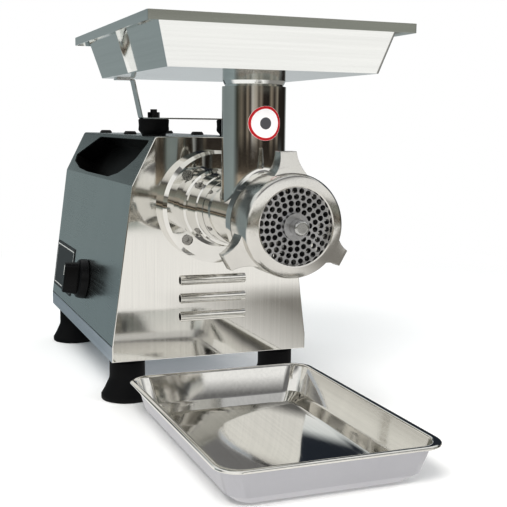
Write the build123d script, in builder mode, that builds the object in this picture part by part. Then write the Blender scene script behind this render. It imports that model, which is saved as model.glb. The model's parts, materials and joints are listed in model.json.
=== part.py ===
"""Electric meat grinder with a bolted stainless head, a feed pan on top and a catching tray in front.

Millimetres, +Z up, the outlet faces -Y. The origin is on the worktop, under the middle of the
whole footprint, tray included. The body is symmetrical about X = 0.
"""

import itertools
import math
import os

from build123d import *

# ---------------------------------------------------------------- driving dimensions
# Motor housing: a folded sheet body, wider at the foot than at the top.
housing_depth = 396
foot_height = 51
base_half = 121
band_height = 18
crease_half = 97
crease_height = 254
top_half = 69
top_height = 310
panel_gauge = 1.5
cover_gauge = 1.2
bend_radius = 4
cover_hem = 12

# Mincing head: a horizontal barrel with a vertical throat near its middle.
axis_height = 230
flange_radius = 65
flange_thickness = 18
flange_step_radius = 44.5
collar_radius = 41
collar_end = 60
spigot_radius = 34
barrel_radius = 36.5
groove_place = 11
groove_depth = 0.8
groove_width = 1.6
worm_bore_radius = 30
cone_start = 148
shoulder_start = 177
shoulder_end = 190
head_end = 231
plate_radius = 41
plate_thickness = 7
plate_hole_radius = 2.6
plate_rings = 4
plate_first_ring = 16
plate_ring_pitch = 6
plate_hole_pitch = 6.9
plate_hub_radius = 13
plate_hub_reach = 6
plate_recess = 6
key_width = 3.8
key_height = 2.4
key_gap = 0.1
thread_radius = plate_radius + 4.9
shoulder_radius = thread_radius + 2.1
nut_radius = thread_radius + 4.1
nut_lip_radius = plate_radius - 4
lug_reach = nut_radius + 20
lug_root_half = 20
lug_tip_width = 17
lug_rear = 36
lug_thickness = 21
nut_start = 196
nut_end = 241
throat_place = 127
throat_radius = 33
throat_wall = 2.6
throat_top = 363
throat_blend = 8
label_height = 326
label_radius = 17.3
label_gauge = 0.4

# Screws that hold the flange, and the radial ones of its collar.
flange_screw_circle = 52
flange_screw_grip = 8
flange_screw_radius = 3.2
flange_screw_head_radius = 5.7
flange_screw_seat = 5
flange_screw_gap = 0.8
collar_screw_place = 44
collar_screw_radius = 3.5
flange_socket_radius = 3
flange_socket = 2.6
collar_socket_radius = 1.9

# Drive shaft, its square socket and the seal in the head's rear wall.
shaft_radius = 15
shaft_end = 38
socket_depth = 14
square = 13
seal_radius = 22
chamber_wall = 24
chamber_rear = 40

# Worm, knife and the pin that carries the plate.
worm_core_radius = 12
worm_pitch = 38
flight_thickness = 5
knife_thickness = 9
knife_hub_radius = 14
knife_room = 10
blade_reach = plate_radius - 1.5
blade_count = 4
pin_radius = 7.5
pin_end = 254
worm_rear = 44
worm_flight_gap = 0.8

# Feed pan, its bracket and the two rubber buffers under it.
pan_gauge = 1.2
pan_half_width = 137
pan_front = 217
pan_back = 115
pan_floor = 377
pan_height = 48
pan_rim = 12
pan_lip = 9
pan_taper = 14
pan_corner = 5
neck_top_radius = 32.6
neck_depth = 44
neck_collar = 8
neck_gap = 2
bracket_place = 77
bracket_width = 18
bracket_gauge = 1.5
bracket_half_span = 66
bracket_lean = 10
bracket_tab = 20
buffer_radius = 18.5
buffer_height = 20
buffer_foot = 2
buffer_flare = 4
buffer_spacing = 100

# Catching tray, standing on the worktop in front of the housing.
tray_gauge = 1
tray_half_width = 111
tray_length = 326
tray_height = 40
tray_rim = 7
tray_taper = 12
tray_corner = 24
tray_gap = 20

# Feet, hand holds, switch, rating plate and cable gland.
foot_top_radius = 21
foot_base_radius = 31
foot_rim_height = 7
foot_neck_height = 24
foot_recess_radius = 9
foot_recess = 12
bolt_radius = 4
bolt_head_radius = 8.5
bolt_head = 5
bolt_reach = 12
bolt_nut_radius = 7.5
bolt_nut = 6.5
foot_side_place = 95
foot_inset = 34
hand_hold_depth = 30
hold_front = 16
hold_rear_margin = 18
hold_top_margin = 5
hold_bottom_margin = 4.5
hand_hold_wall = 2
hand_hold_corner = 3
hand_hold_lip = 0.2
# Lower edge of the opening: distance in from each end, and rise above its lowest line.
hold_rear_slope = 103
hold_rear_sweep = ((10, 11.5), (63, 2.5), (121, 0))
hold_front_sweep = ((114, 0), (74, 7), (50, 15.5), (24, 28.5))
knob_place = 180
knob_height = 121
knob_radius = 26
knob_base = 12
knob_grip = 17
knob_grip_width = 19
knob_grip_inset = 5
knob_taper = 4
switch_body_side = 44
switch_body_depth = 38
switch_body_corner = 3
spindle_radius = 5
spindle_depth = 14
rating_plate_place = 328
rating_plate_height = 116
rating_plate_length = 126
rating_plate_width = 66
rating_plate_corner = 2
rating_plate_gauge = 1
gland_height = 68
gland_side_place = 60
gland_reach = 22
gland_thread_radius = 8
gland_thread_length = 10
gland_nut_radius = 12
gland_nut_width = 7
gland_cap_radius = 10
gland_cap_taper = 12
gland_locknut_radius = 11.5
gland_locknut_width = 5
cable_radius = 4.5
cover_screw_side = 47
cover_screw_rear = 46
cover_screw_middle = 7
cover_screw_radius = 8.5
cover_screw_rim = 1.6
cover_screw_height = 4

# Louvres pressed out of the front and rear panels.
louvre_length = 80
louvre_height = 11.5
louvre_depth = 5.5
louvre_wall = 1.2
louvre_pitch = 21.5
louvre_centre = 122

# Gear train: motor pinion, layshaft gear, layshaft pinion, output gear.
motor_axis_height = 138
fast_module = 1.5
motor_teeth = 15
lay_gear_teeth = 47
slow_module = 2
lay_pinion_teeth = 16
output_teeth = 44
gearbox_wall = 6
cover_rear = 14
output_bearing_front = 6
lay_bearing_front = 10
gearbox_end = 92
gear_band_front = 30
slow_width = 20
fast_front = 55
fast_width = 14
case_floor = 14
bearing_width = 11
output_bearing_radius = 31
output_rear_bearing_radius = 26
output_rear_shaft_radius = 12.5
lay_bearing_radius = 20
lay_rear_bearing_radius = 17.5
layshaft_radius = 8.5
boss_wall = 6
shaft_step = 10
shaft_collar = 4
seal_width = 8
boss_reach = 8
motor_spigot_radius = 24

# Motor, its cradle, and the capacitor beside it.
motor_radius = 60
motor_length = 112
frame_wall = 5
fin_count = 36
fin_depth = 2
fin_thickness = 1.8
bell_width = 12
motor_shaft_radius = 8.5
motor_bearing_radius = 20
motor_bearing_front = 8
motor_rear_bearing_radius = 17.5
motor_rear_bearing_width = 10
stator_inset = 18
stator_bore_radius = 31
slot_circle = 38
slot_count = 24
slot_length = 11
slot_width = 4.4
winding_outer_radius = 46
winding_inner_radius = 32.5
winding_reach = 13
rotor_inset = 14
air_gap = 0.6
pinion_seat_radius = 5
fan_place = 20
fan_radius = 48
fan_hub_radius = 15
fan_width = 18
fan_disc = 2.5
blade_length = 33
fan_blades = 9
cowl_gauge = 1.2
cowl_length = 36
shaft_tail = 44
cradle_width = 92
cradle_foot = 12
cradle_gauge = 4
cradle_inset = 20
capacitor_rear_margin = 96
capacitor_side = 55
capacitor_radius = 21
capacitor_length = 80
capacitor_lift = 3
terminal_spacing = 12
terminal_length = 9
clamp_gauge = 1.5
clamp_width = 20
clamp_place = 30
clamp_foot = 60

# Fits.
running_gap = 0.08
sliding_gap = 0.3
seam_gap = 1.1

# ---------------------------------------------------------------- derived places
front = -(housing_depth + gland_reach - tray_gap - tray_length) / 2
back = front + housing_depth
seam_height = foot_height + band_height
tray_back = front - tray_gap
tray_front = tray_back - tray_length
hold_rear = housing_depth - hold_rear_margin


def facing_front(y, x=0, z=0):
    """Plane that looks forwards at depth y, with local X to the right and local Y up."""
    return Plane((x, y, z), x_dir=(1, 0, 0), z_dir=(0, -1, 0))


def on_axis(y):
    """Plane across the barrel, y behind the front panel's face, centred on the worm's axis."""
    return facing_front(front + y, 0, axis_height)


# The housing's section, on the ground plane, with X across and Y for height.
with BuildSketch() as housing_section:
    with BuildLine():
        Polyline(
            (-base_half, foot_height),
            (-base_half, seam_height),
            (-crease_half, crease_height),
            (-top_half, top_height),
            (top_half, top_height),
            (crease_half, crease_height),
            (base_half, seam_height),
            (base_half, foot_height),
            close=True,
        )
    make_face()
    fillet(housing_section.vertices().filter_by_position(Axis.Y, seam_height + 1, top_height), bend_radius)

# The same section above the seam, where the cover stands.
with BuildSketch() as cover_section:
    add(housing_section.sketch)
    with Locations((0, seam_height + seam_gap)):
        Rectangle(
            3 * base_half,
            2 * band_height,
            align=(Align.CENTER, Align.MAX),
            mode=Mode.SUBTRACT,
        )

# Sloping sides, as planes with local X towards the front on the left side.
flare_angle = math.atan2(base_half - crease_half, crease_height - seam_height)
facet_angle = math.atan2(crease_half - top_half, top_height - crease_height)
facet_slope = math.hypot(crease_half - top_half, top_height - crease_height)
flare_out = (-math.cos(flare_angle), 0, math.sin(flare_angle))
facet_out = (-math.cos(facet_angle), 0, math.sin(facet_angle))


def on_flare(place, height, lift=0):
    """Plane on the left side's lower slope, at a depth and a height."""
    x = -base_half + (height - seam_height) * math.tan(flare_angle)
    plane = Plane((x, front + place, height), x_dir=(0, -1, 0), z_dir=flare_out)
    return plane.offset(lift)


facet_plane = Plane((-crease_half, front, crease_height), x_dir=(0, -1, 0), z_dir=facet_out)

# Gear centres: the layshaft stands to the right of the line from motor to output.
fast_centres = fast_module * (motor_teeth + lay_gear_teeth) / 2
slow_centres = slow_module * (lay_pinion_teeth + output_teeth) / 2
centre_drop = axis_height - motor_axis_height
lay_rise = (fast_centres**2 - slow_centres**2 + centre_drop**2) / (2 * centre_drop)
lay_side = math.sqrt(fast_centres**2 - lay_rise**2)
lay_height = motor_axis_height + lay_rise
fast_mesh_angle = math.degrees(math.atan2(lay_rise, lay_side))
slow_mesh_angle = math.degrees(math.atan2(axis_height - lay_height, -lay_side))

# ---------------------------------------------------------------- housing panels
with BuildPart() as base_pan:
    with BuildSketch(facing_front(front + panel_gauge)):
        with Locations((0, foot_height + band_height / 2)):
            Rectangle(2 * base_half, band_height)
        with Locations((0, foot_height + panel_gauge + band_height / 2)):
            Rectangle(2 * (base_half - panel_gauge), band_height, mode=Mode.SUBTRACT)
    extrude(amount=-(housing_depth - 2 * panel_gauge))
    with Locations(Plane.XY.offset(foot_height + panel_gauge)):
        with Locations((0, front + housing_depth / 2)):
            with GridLocations(2 * foot_side_place, housing_depth - 2 * foot_inset, 2, 2):
                Hole(radius=bolt_radius + sliding_gap, depth=2 * panel_gauge)
base_pan.part.label = "base_pan"

with BuildPart() as side_cover:
    with BuildSketch(facing_front(front + panel_gauge)) as cover_ring:
        add(cover_section.sketch)
        offset(amount=-cover_gauge, kind=Kind.INTERSECTION, mode=Mode.SUBTRACT)
        with Locations((0, seam_height + seam_gap)):
            Rectangle(2 * (base_half - cover_hem), 3 * cover_gauge, mode=Mode.SUBTRACT)
    extrude(amount=-(housing_depth - 2 * panel_gauge))
    # Window of each hand hold, then the switch's hole in the left side only.
    with BuildSketch(facet_plane) as hand_hold_window:
        with BuildLine():
            Polyline(
                (-hold_front, facet_slope - hold_top_margin),
                (-hold_rear + hold_rear_slope, facet_slope - hold_top_margin),
                (-hold_rear, facet_slope * 0.42),
                *((-hold_rear + inward, hold_bottom_margin + rise) for inward, rise in hold_rear_sweep),
                *((-hold_front - inward, hold_bottom_margin + rise) for inward, rise in hold_front_sweep),
                close=True,
            )
        make_face()
        fillet(hand_hold_window.vertices(), hand_hold_corner)
    window = extrude(amount=3 * cover_gauge, both=True, mode=Mode.PRIVATE)
    add(window, mode=Mode.SUBTRACT)
    mirror(window, about=Plane.YZ, mode=Mode.SUBTRACT)
    with BuildSketch(on_flare(knob_place, knob_height)):
        Circle(spindle_radius + 4)
    extrude(amount=-3 * cover_gauge, mode=Mode.SUBTRACT)
    with Locations(Plane.XY.offset(top_height)):
        with Locations((0, front + bracket_place)):
            with GridLocations(buffer_spacing, 1, 2, 1):
                Hole(radius=bolt_radius, depth=2 * cover_gauge)
side_cover.part.label = "side_cover"


def louvre_bars(panel_face, towards, wall):
    """Three half-round bars across a panel, bulging along `towards` in Y and smaller by `wall`."""
    with BuildPart() as bars:
        for row in (-1, 0, 1):
            height = louvre_centre + row * louvre_pitch
            with BuildSketch(Plane((0, panel_face, height), x_dir=(0, towards, 0), z_dir=(1, 0, 0))):
                Ellipse(louvre_depth - wall, louvre_height / 2 - wall)
                with Locations((-louvre_depth, 0)):
                    Rectangle(2 * louvre_depth, louvre_height, mode=Mode.SUBTRACT)
                with Locations((-panel_gauge / 2, 0)):
                    Rectangle(panel_gauge, louvre_height - 2 * wall)
            extrude(amount=louvre_length / 2, both=True)
    return bars.part


with BuildPart() as front_panel:
    with BuildSketch(facing_front(front)):
        add(housing_section.sketch)
    extrude(amount=-panel_gauge)
    add(louvre_bars(front, -1, 0))
    add(louvre_bars(front, -1, louvre_wall), mode=Mode.SUBTRACT)
    with BuildSketch(on_axis(0)):
        Circle(spigot_radius)
        with PolarLocations(flange_screw_circle, 4, start_angle=45):
            Circle(flange_screw_radius)
    extrude(amount=-2 * panel_gauge, mode=Mode.SUBTRACT)
    flat_faces = front_panel.faces().filter_by_position(Axis.Y, front - 0.01, front + 0.01)
    fillet(flat_faces.sort_by(SortBy.AREA)[-1].outer_wire().edges(), 0.8 * panel_gauge)
front_panel.part.label = "front_panel"

with BuildPart() as rear_panel:
    with BuildSketch(facing_front(back - panel_gauge)):
        add(housing_section.sketch)
    extrude(amount=-panel_gauge)
    add(louvre_bars(back, 1, 0))
    add(louvre_bars(back, 1, louvre_wall), mode=Mode.SUBTRACT)
    with BuildSketch(facing_front(back - panel_gauge, gland_side_place, gland_height)):
        Circle(gland_thread_radius)
    extrude(amount=-2 * panel_gauge, mode=Mode.SUBTRACT)
rear_panel.part.label = "rear_panel"

with BuildPart() as left_hand_hold:
    with BuildSketch(facet_plane.offset(-cover_gauge)):
        add(hand_hold_window.sketch_local)
        offset(amount=hand_hold_wall)
    extrude(amount=-hand_hold_depth)
    with BuildSketch(facet_plane.offset(-cover_gauge)):
        add(hand_hold_window.sketch_local)
        offset(amount=-hand_hold_lip)
    extrude(amount=-(hand_hold_depth - hand_hold_wall), mode=Mode.SUBTRACT)
left_hand_hold.part.label = "left_hand_hold"

with BuildPart() as right_hand_hold:
    mirror(left_hand_hold.part, about=Plane.YZ)
right_hand_hold.part.label = "right_hand_hold"

# ---------------------------------------------------------------- feet and small fittings
with BuildPart() as rubber_feet:
    with Locations((0, front + housing_depth / 2)):
        with GridLocations(2 * foot_side_place, housing_depth - 2 * foot_inset, 2, 2):
            Cylinder(foot_base_radius, foot_rim_height, align=(Align.CENTER, Align.CENTER, Align.MIN))
    with Locations((0, front + housing_depth / 2, foot_rim_height)):
        with GridLocations(2 * foot_side_place, housing_depth - 2 * foot_inset, 2, 2):
            Cone(
                foot_base_radius,
                foot_top_radius,
                foot_neck_height - foot_rim_height,
                align=(Align.CENTER, Align.CENTER, Align.MIN),
            )
    with Locations((0, front + housing_depth / 2, foot_neck_height)):
        with GridLocations(2 * foot_side_place, housing_depth - 2 * foot_inset, 2, 2):
            Cylinder(
                foot_top_radius,
                foot_height - foot_neck_height,
                align=(Align.CENTER, Align.CENTER, Align.MIN),
            )
    with Locations((0, front + housing_depth / 2, 0)):
        with GridLocations(2 * foot_side_place, housing_depth - 2 * foot_inset, 2, 2):
            Cylinder(
                bolt_radius,
                foot_height,
                align=(Align.CENTER, Align.CENTER, Align.MIN),
                mode=Mode.SUBTRACT,
            )
            Cylinder(
                foot_recess_radius,
                foot_recess,
                align=(Align.CENTER, Align.CENTER, Align.MIN),
                mode=Mode.SUBTRACT,
            )
rubber_feet.part.label = "rubber_feet"

with BuildPart() as foot_bolts:
    with Locations((0, front + housing_depth / 2, foot_recess - bolt_head)):
        with GridLocations(2 * foot_side_place, housing_depth - 2 * foot_inset, 2, 2):
            Cylinder(bolt_head_radius, bolt_head, align=(Align.CENTER, Align.CENTER, Align.MIN))
            Cylinder(
                bolt_radius,
                foot_height + panel_gauge + bolt_reach - foot_recess + bolt_head,
                align=(Align.CENTER, Align.CENTER, Align.MIN),
            )
foot_bolts.part.label = "foot_bolts"

with BuildPart() as foot_nuts:
    with BuildSketch(Plane.XY.offset(foot_height + panel_gauge)):
        with Locations((0, front + housing_depth / 2)):
            with GridLocations(2 * foot_side_place, housing_depth - 2 * foot_inset, 2, 2):
                RegularPolygon(bolt_nut_radius, 6)
                Circle(bolt_radius, mode=Mode.SUBTRACT)
    extrude(amount=bolt_nut)
foot_nuts.part.label = "foot_nuts"

with BuildPart() as cover_screws:
    cover_screw_places = (housing_depth - cover_screw_rear, housing_depth / 2 + cover_screw_middle)
    for side, place in itertools.product((-1, 1), cover_screw_places):
        with BuildSketch(facing_front(front + place, side * cover_screw_side, top_height)):
            with BuildLine():
                Polyline(
                    (0, 0),
                    (cover_screw_radius, 0),
                    (cover_screw_radius, cover_screw_rim),
                    (cover_screw_radius - 2, cover_screw_height),
                    (0, cover_screw_height),
                    close=True,
                )
            make_face()
        revolve(axis=Axis((side * cover_screw_side, front + place, 0), (0, 0, 1)))
cover_screws.part.label = "cover_screws"

with BuildPart() as rating_plate:
    with BuildSketch(on_flare(rating_plate_place, rating_plate_height)):
        RectangleRounded(rating_plate_length, rating_plate_width, rating_plate_corner)
    extrude(amount=rating_plate_gauge)
rating_plate.part.label = "rating_plate"

with BuildPart() as cable_gland:
    gland_plane = facing_front(back, gland_side_place, gland_height)
    with BuildSketch(gland_plane):
        Circle(gland_thread_radius)
    extrude(amount=panel_gauge + gland_thread_length)
    with BuildSketch(gland_plane):
        RegularPolygon(gland_nut_radius, 6)
    extrude(amount=-gland_nut_width)
    with BuildSketch(gland_plane.offset(-gland_nut_width)):
        Circle(gland_cap_radius)
    extrude(amount=-(gland_reach - gland_nut_width), taper=gland_cap_taper)
    with BuildSketch(gland_plane.offset(panel_gauge)):
        RegularPolygon(gland_locknut_radius, 6)
    extrude(amount=gland_locknut_width)
    with BuildSketch(gland_plane.offset(panel_gauge + gland_thread_length)):
        Circle(cable_radius)
    extrude(amount=-(gland_reach + panel_gauge + gland_thread_length), mode=Mode.SUBTRACT)
cable_gland.part.label = "cable_gland"

# ---------------------------------------------------------------- switch
with BuildPart() as switch_body:
    with BuildSketch(on_flare(knob_place, knob_height, -cover_gauge)):
        RectangleRounded(switch_body_side, switch_body_side, switch_body_corner)
    extrude(amount=-switch_body_depth)
    with BuildSketch(on_flare(knob_place, knob_height, -cover_gauge)):
        Circle(spindle_radius)
    extrude(amount=-(spindle_depth + 2), mode=Mode.SUBTRACT)
switch_body.part.label = "switch_body"

with BuildPart() as switch_knob:
    with BuildSketch(on_flare(knob_place, knob_height, sliding_gap)):
        Circle(knob_radius)
    extrude(amount=knob_base, taper=knob_taper)
    with BuildSketch(on_flare(knob_place, knob_height, knob_base)):
        SlotOverall(2 * (knob_radius - knob_grip_inset), knob_grip_width)
    extrude(amount=knob_grip + sliding_gap, taper=knob_taper)
    fillet(switch_knob.faces().filter_by(Plane(origin=(0, 0, 0), z_dir=flare_out)).edges(), 1)
switch_knob.part.label = "switch_knob"

with BuildPart() as switch_spindle:
    with BuildSketch(on_flare(knob_place, knob_height, sliding_gap)):
        Circle(spindle_radius - running_gap)
    extrude(amount=-(cover_gauge + sliding_gap + spindle_depth))
switch_spindle.part.label = "switch_spindle"

# ---------------------------------------------------------------- outlet flange and head
with BuildPart() as outlet_flange:
    with BuildSketch(Plane((0, front, axis_height), x_dir=(1, 0, 0), z_dir=(0, 0, 1))):
        with BuildLine():
            Polyline(
                (seal_radius, 0),
                (flange_radius, 0),
                (flange_radius, -(flange_thickness - 4)),
                (flange_radius - 4, -flange_thickness),
                (flange_step_radius, -flange_thickness),
                (flange_step_radius, -(flange_thickness + 8)),
                (collar_radius + 1, -(flange_thickness + 9)),
                (collar_radius, -collar_end + 1.5),
                (collar_radius - 1.5, -collar_end),
                (spigot_radius, -collar_end),
                (spigot_radius, -chamber_wall),
                (seal_radius, -chamber_wall),
                close=True,
            )
        make_face()
    revolve(axis=Axis((0, front, axis_height), (0, 1, 0)))
    with BuildSketch(on_axis(-flange_thickness)):
        with PolarLocations(flange_screw_circle, 4, start_angle=45):
            Circle(flange_screw_head_radius + flange_screw_gap)
    extrude(amount=-flange_screw_seat, mode=Mode.SUBTRACT)
    with BuildSketch(on_axis(-flange_thickness)):
        with PolarLocations(flange_screw_circle, 4, start_angle=45):
            Circle(flange_screw_radius)
    extrude(amount=-flange_thickness - 1, mode=Mode.SUBTRACT)
    for turn in (45, 135, 225, 315):
        outward = (math.cos(math.radians(turn)), 0, math.sin(math.radians(turn)))
        collar_plane = Plane((0, front - collar_screw_place, axis_height), x_dir=(0, 1, 0), z_dir=outward)
        with BuildSketch(collar_plane):
            Circle(collar_screw_radius)
        extrude(amount=flange_step_radius, mode=Mode.SUBTRACT)
outlet_flange.part.label = "outlet_flange"

with BuildPart() as flange_screws:
    with BuildSketch(on_axis(-flange_thickness + 1)):
        with PolarLocations(flange_screw_circle, 4, start_angle=45):
            Circle(flange_screw_head_radius)
    extrude(amount=-(flange_screw_seat - 1))
    with BuildSketch(on_axis(-flange_thickness + flange_screw_seat)):
        with PolarLocations(flange_screw_circle, 4, start_angle=45):
            Circle(flange_screw_radius)
    extrude(amount=-(flange_thickness - flange_screw_seat + panel_gauge + flange_screw_grip))
    with BuildSketch(on_axis(-flange_thickness + 1)):
        with PolarLocations(flange_screw_circle, 4, start_angle=45):
            RegularPolygon(flange_socket_radius, 6)
    extrude(amount=-flange_socket, mode=Mode.SUBTRACT)
flange_screws.part.label = "flange_screws"

with BuildPart() as collar_screws:
    for turn in (45, 135, 225, 315):
        outward = (math.cos(math.radians(turn)), 0, math.sin(math.radians(turn)))
        collar_plane = Plane((0, front - collar_screw_place, axis_height), x_dir=(0, 1, 0), z_dir=outward)
        with BuildSketch(collar_plane.offset(spigot_radius + 0.5)):
            Circle(collar_screw_radius)
        extrude(amount=collar_radius - spigot_radius - 0.9)
        with BuildSketch(collar_plane.offset(collar_radius - 0.4)):
            RegularPolygon(collar_socket_radius, 6)
        extrude(amount=-3, mode=Mode.SUBTRACT)
collar_screws.part.label = "collar_screws"

with BuildPart() as grinder_head:
    with BuildSketch(Plane((0, front, axis_height), x_dir=(1, 0, 0), z_dir=(0, 0, 1))) as head_outside:
        with BuildLine():
            Polyline(
                (0, -chamber_wall),
                (spigot_radius, -chamber_wall),
                (spigot_radius, -collar_end),
                (barrel_radius, -collar_end),
                (barrel_radius, -cone_start),
                (shoulder_radius - 2, -shoulder_start + 4),
                (shoulder_radius, -shoulder_start),
                (shoulder_radius, -shoulder_end),
                (thread_radius, -shoulder_end),
                (thread_radius, -head_end),
                (0, -head_end),
                close=True,
            )
        make_face()
    revolve(axis=Axis((0, front, axis_height), (0, 1, 0)))
    with BuildSketch(Plane.XY.offset(axis_height)):
        with Locations((0, front - throat_place)):
            Circle(throat_radius)
    extrude(amount=throat_top - axis_height)
    fillet(grinder_head.edges().filter_by(GeomType.BSPLINE), throat_blend)
    # Groove round the barrel just in front of the clamping collar.
    with BuildSketch(on_axis(-collar_end - groove_place)):
        Circle(barrel_radius + 1)
        Circle(barrel_radius - groove_depth, mode=Mode.SUBTRACT)
    extrude(amount=groove_width, mode=Mode.SUBTRACT)
    # Worm chamber, the wider seat of knife and plate, and the shaft's bore in the rear wall.
    with BuildSketch(on_axis(-chamber_rear)):
        Circle(worm_bore_radius)
    extrude(amount=head_end - chamber_rear, mode=Mode.SUBTRACT)
    with BuildSketch(on_axis(-(nut_end - plate_recess - plate_thickness - knife_thickness - knife_room))):
        Circle(plate_radius + running_gap)
    extrude(amount=head_end, mode=Mode.SUBTRACT)
    with BuildSketch(on_axis(0)):
        Circle(shaft_radius + running_gap)
    extrude(amount=chamber_rear + 2, mode=Mode.SUBTRACT)
    with BuildSketch(Plane.XY.offset(axis_height + 6)):
        with Locations((0, front - throat_place)):
            Circle(throat_radius - throat_wall)
    extrude(amount=throat_top, mode=Mode.SUBTRACT)
grinder_head.part.label = "grinder_head"

with BuildPart() as head_label:
    with BuildSketch(Plane.XY.offset(label_height - label_radius)):
        with Locations((0, front - throat_place)):
            Circle(throat_radius + label_gauge)
            Circle(throat_radius, mode=Mode.SUBTRACT)
    extrude(amount=2 * label_radius)
    with BuildSketch(facing_front(front - throat_place - 5, 0, label_height)):
        Circle(label_radius)
    extrude(amount=throat_radius, mode=Mode.INTERSECT)
head_label.part.label = "head_label"

# ---------------------------------------------------------------- worm, knife, plate and ring nut
plate_front = nut_end - plate_recess
plate_rear = plate_front - plate_thickness
knife_rear = plate_rear - running_gap - knife_thickness
worm_front = knife_rear - 1
flight_height = worm_bore_radius - worm_flight_gap - worm_core_radius

with BuildPart() as worm:
    with BuildSketch(on_axis(-worm_rear)):
        Circle(worm_core_radius)
    extrude(amount=worm_front - worm_rear)
    helix = Helix(
        pitch=worm_pitch,
        height=worm_front - worm_rear - 12,
        radius=worm_core_radius,
        center=(0, front - worm_rear - 6, axis_height),
        direction=(0, -1, 0),
    )
    start = helix @ 0
    radial = Vector(start.X, 0, start.Z - axis_height)
    flight_plane = Plane(start, x_dir=radial, z_dir=helix % 0)
    with BuildSketch(flight_plane):
        with Locations((flight_height / 2 - 0.5, 0)):
            Rectangle(flight_height + 1, flight_thickness)
    sweep(path=helix, is_frenet=True)
    with BuildSketch(on_axis(-worm_rear)):
        Rectangle(square, square)
    extrude(amount=-(worm_rear - shaft_end + socket_depth - 2))
    with BuildSketch(on_axis(-worm_front)):
        Rectangle(square, square)
    extrude(amount=knife_rear + knife_thickness - worm_front)
    with BuildSketch(on_axis(-knife_rear - knife_thickness)):
        Circle(pin_radius)
    extrude(amount=pin_end - knife_rear - knife_thickness)
    fillet(worm.faces().sort_by(Axis.Y)[0].edges(), 2.5)
worm.part.label = "worm"

with BuildPart() as knife:
    with BuildSketch(on_axis(-knife_rear)):
        Circle(knife_hub_radius)
        with PolarLocations(0, blade_count, start_angle=20):
            Polygon(
                (knife_hub_radius - 6, -7),
                (blade_reach - 3.5, -6),
                (blade_reach, 1),
                (blade_reach - 5.5, 5.5),
                (knife_hub_radius - 2, 6),
                align=None,
            )
        Rectangle(square, square, mode=Mode.SUBTRACT)
    extrude(amount=knife_thickness)
knife.part.label = "knife"

with BuildPart() as perforated_plate:
    with BuildSketch(on_axis(-plate_rear)):
        Circle(plate_radius)
        Circle(pin_radius + running_gap, mode=Mode.SUBTRACT)
        for ring in range(plate_rings):
            ring_radius = plate_first_ring + plate_ring_pitch * ring
            count = int(2 * math.pi * ring_radius / plate_hole_pitch)
            with PolarLocations(ring_radius, count, start_angle=180 / count * (ring % 2)):
                Circle(plate_hole_radius, mode=Mode.SUBTRACT)
        with Locations((0, plate_radius)):
            Rectangle(key_width + 2 * key_gap, 2 * (key_height + key_gap), mode=Mode.SUBTRACT)
    extrude(amount=plate_thickness)
    with BuildSketch(on_axis(-plate_front)):
        Circle(plate_hub_radius)
        Circle(pin_radius + running_gap, mode=Mode.SUBTRACT)
    extrude(amount=plate_hub_reach)
perforated_plate.part.label = "perforated_plate"

with BuildPart() as plate_key:
    with BuildSketch(on_axis(-plate_rear)):
        with Locations((0, plate_radius - key_height / 2)):
            Rectangle(key_width, key_height)
    extrude(amount=plate_thickness - 2)
plate_key.part.label = "plate_key"

# One lug's outline, pointing along local X: a broad root, hollow flanks and a square tip.
with BuildSketch() as lug_outline:
    with BuildLine():
        half_tip = lug_tip_width / 2
        root = nut_radius - 4
        ThreePointArc((root, -lug_root_half), (nut_radius + 6, -half_tip - 4), (lug_reach, -half_tip))
        Line((lug_reach, -half_tip), (lug_reach, half_tip))
        ThreePointArc((lug_reach, half_tip), (nut_radius + 6, half_tip + 4), (root, lug_root_half))
        Line((root, lug_root_half), (root, -lug_root_half))
    make_face()
    fillet(lug_outline.vertices().sort_by(Axis.X)[-2:], 3)

with BuildPart() as ring_nut:
    with BuildSketch(Plane((0, front, axis_height), x_dir=(1, 0, 0), z_dir=(0, 0, 1))):
        with BuildLine():
            Polyline(
                (thread_radius + running_gap, -nut_start),
                (nut_radius - 1, -nut_start),
                (nut_radius, -nut_start - 1),
                (nut_radius, -nut_end + 9),
                (nut_radius - 1.6, -nut_end + 5),
                (nut_radius - 5.5, -nut_end + 1),
                (nut_radius - 8.5, -nut_end),
                (nut_lip_radius + 0.8, -nut_end),
                (nut_lip_radius, -nut_end + 2),
                (nut_lip_radius, -plate_front - sliding_gap),
                (thread_radius + running_gap, -plate_front - sliding_gap),
                close=True,
            )
        make_face()
    revolve(axis=Axis((0, front, axis_height), (0, 1, 0)))
    with BuildSketch(on_axis(-nut_end + lug_rear)):
        with PolarLocations(0, 3, start_angle=90):
            add(lug_outline.sketch)
        Circle(nut_radius - 2, mode=Mode.SUBTRACT)
    extrude(amount=lug_thickness)
ring_nut.part.label = "ring_nut"

# ---------------------------------------------------------------- feed pan and its bracket
pan_length = pan_front + pan_back
pan_middle = front + (pan_back - pan_front) / 2
pan_rim_height = pan_floor + pan_height
neck_radius = throat_radius - throat_wall - sliding_gap


def pan_block(inset, floor, top):
    """Solid between two heights with the pan's sloping sides, `inset` inside its outer faces."""
    slope = pan_taper / pan_height
    with BuildPart() as block:
        for height in (floor, top):
            side_inset = inset + pan_rim + slope * (pan_rim_height - height)
            with BuildSketch(Plane((0, pan_middle, height))):
                RectangleRounded(
                    2 * (pan_half_width - side_inset),
                    pan_length - 2 * side_inset,
                    pan_corner,
                )
        loft()
    return block.part


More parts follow.
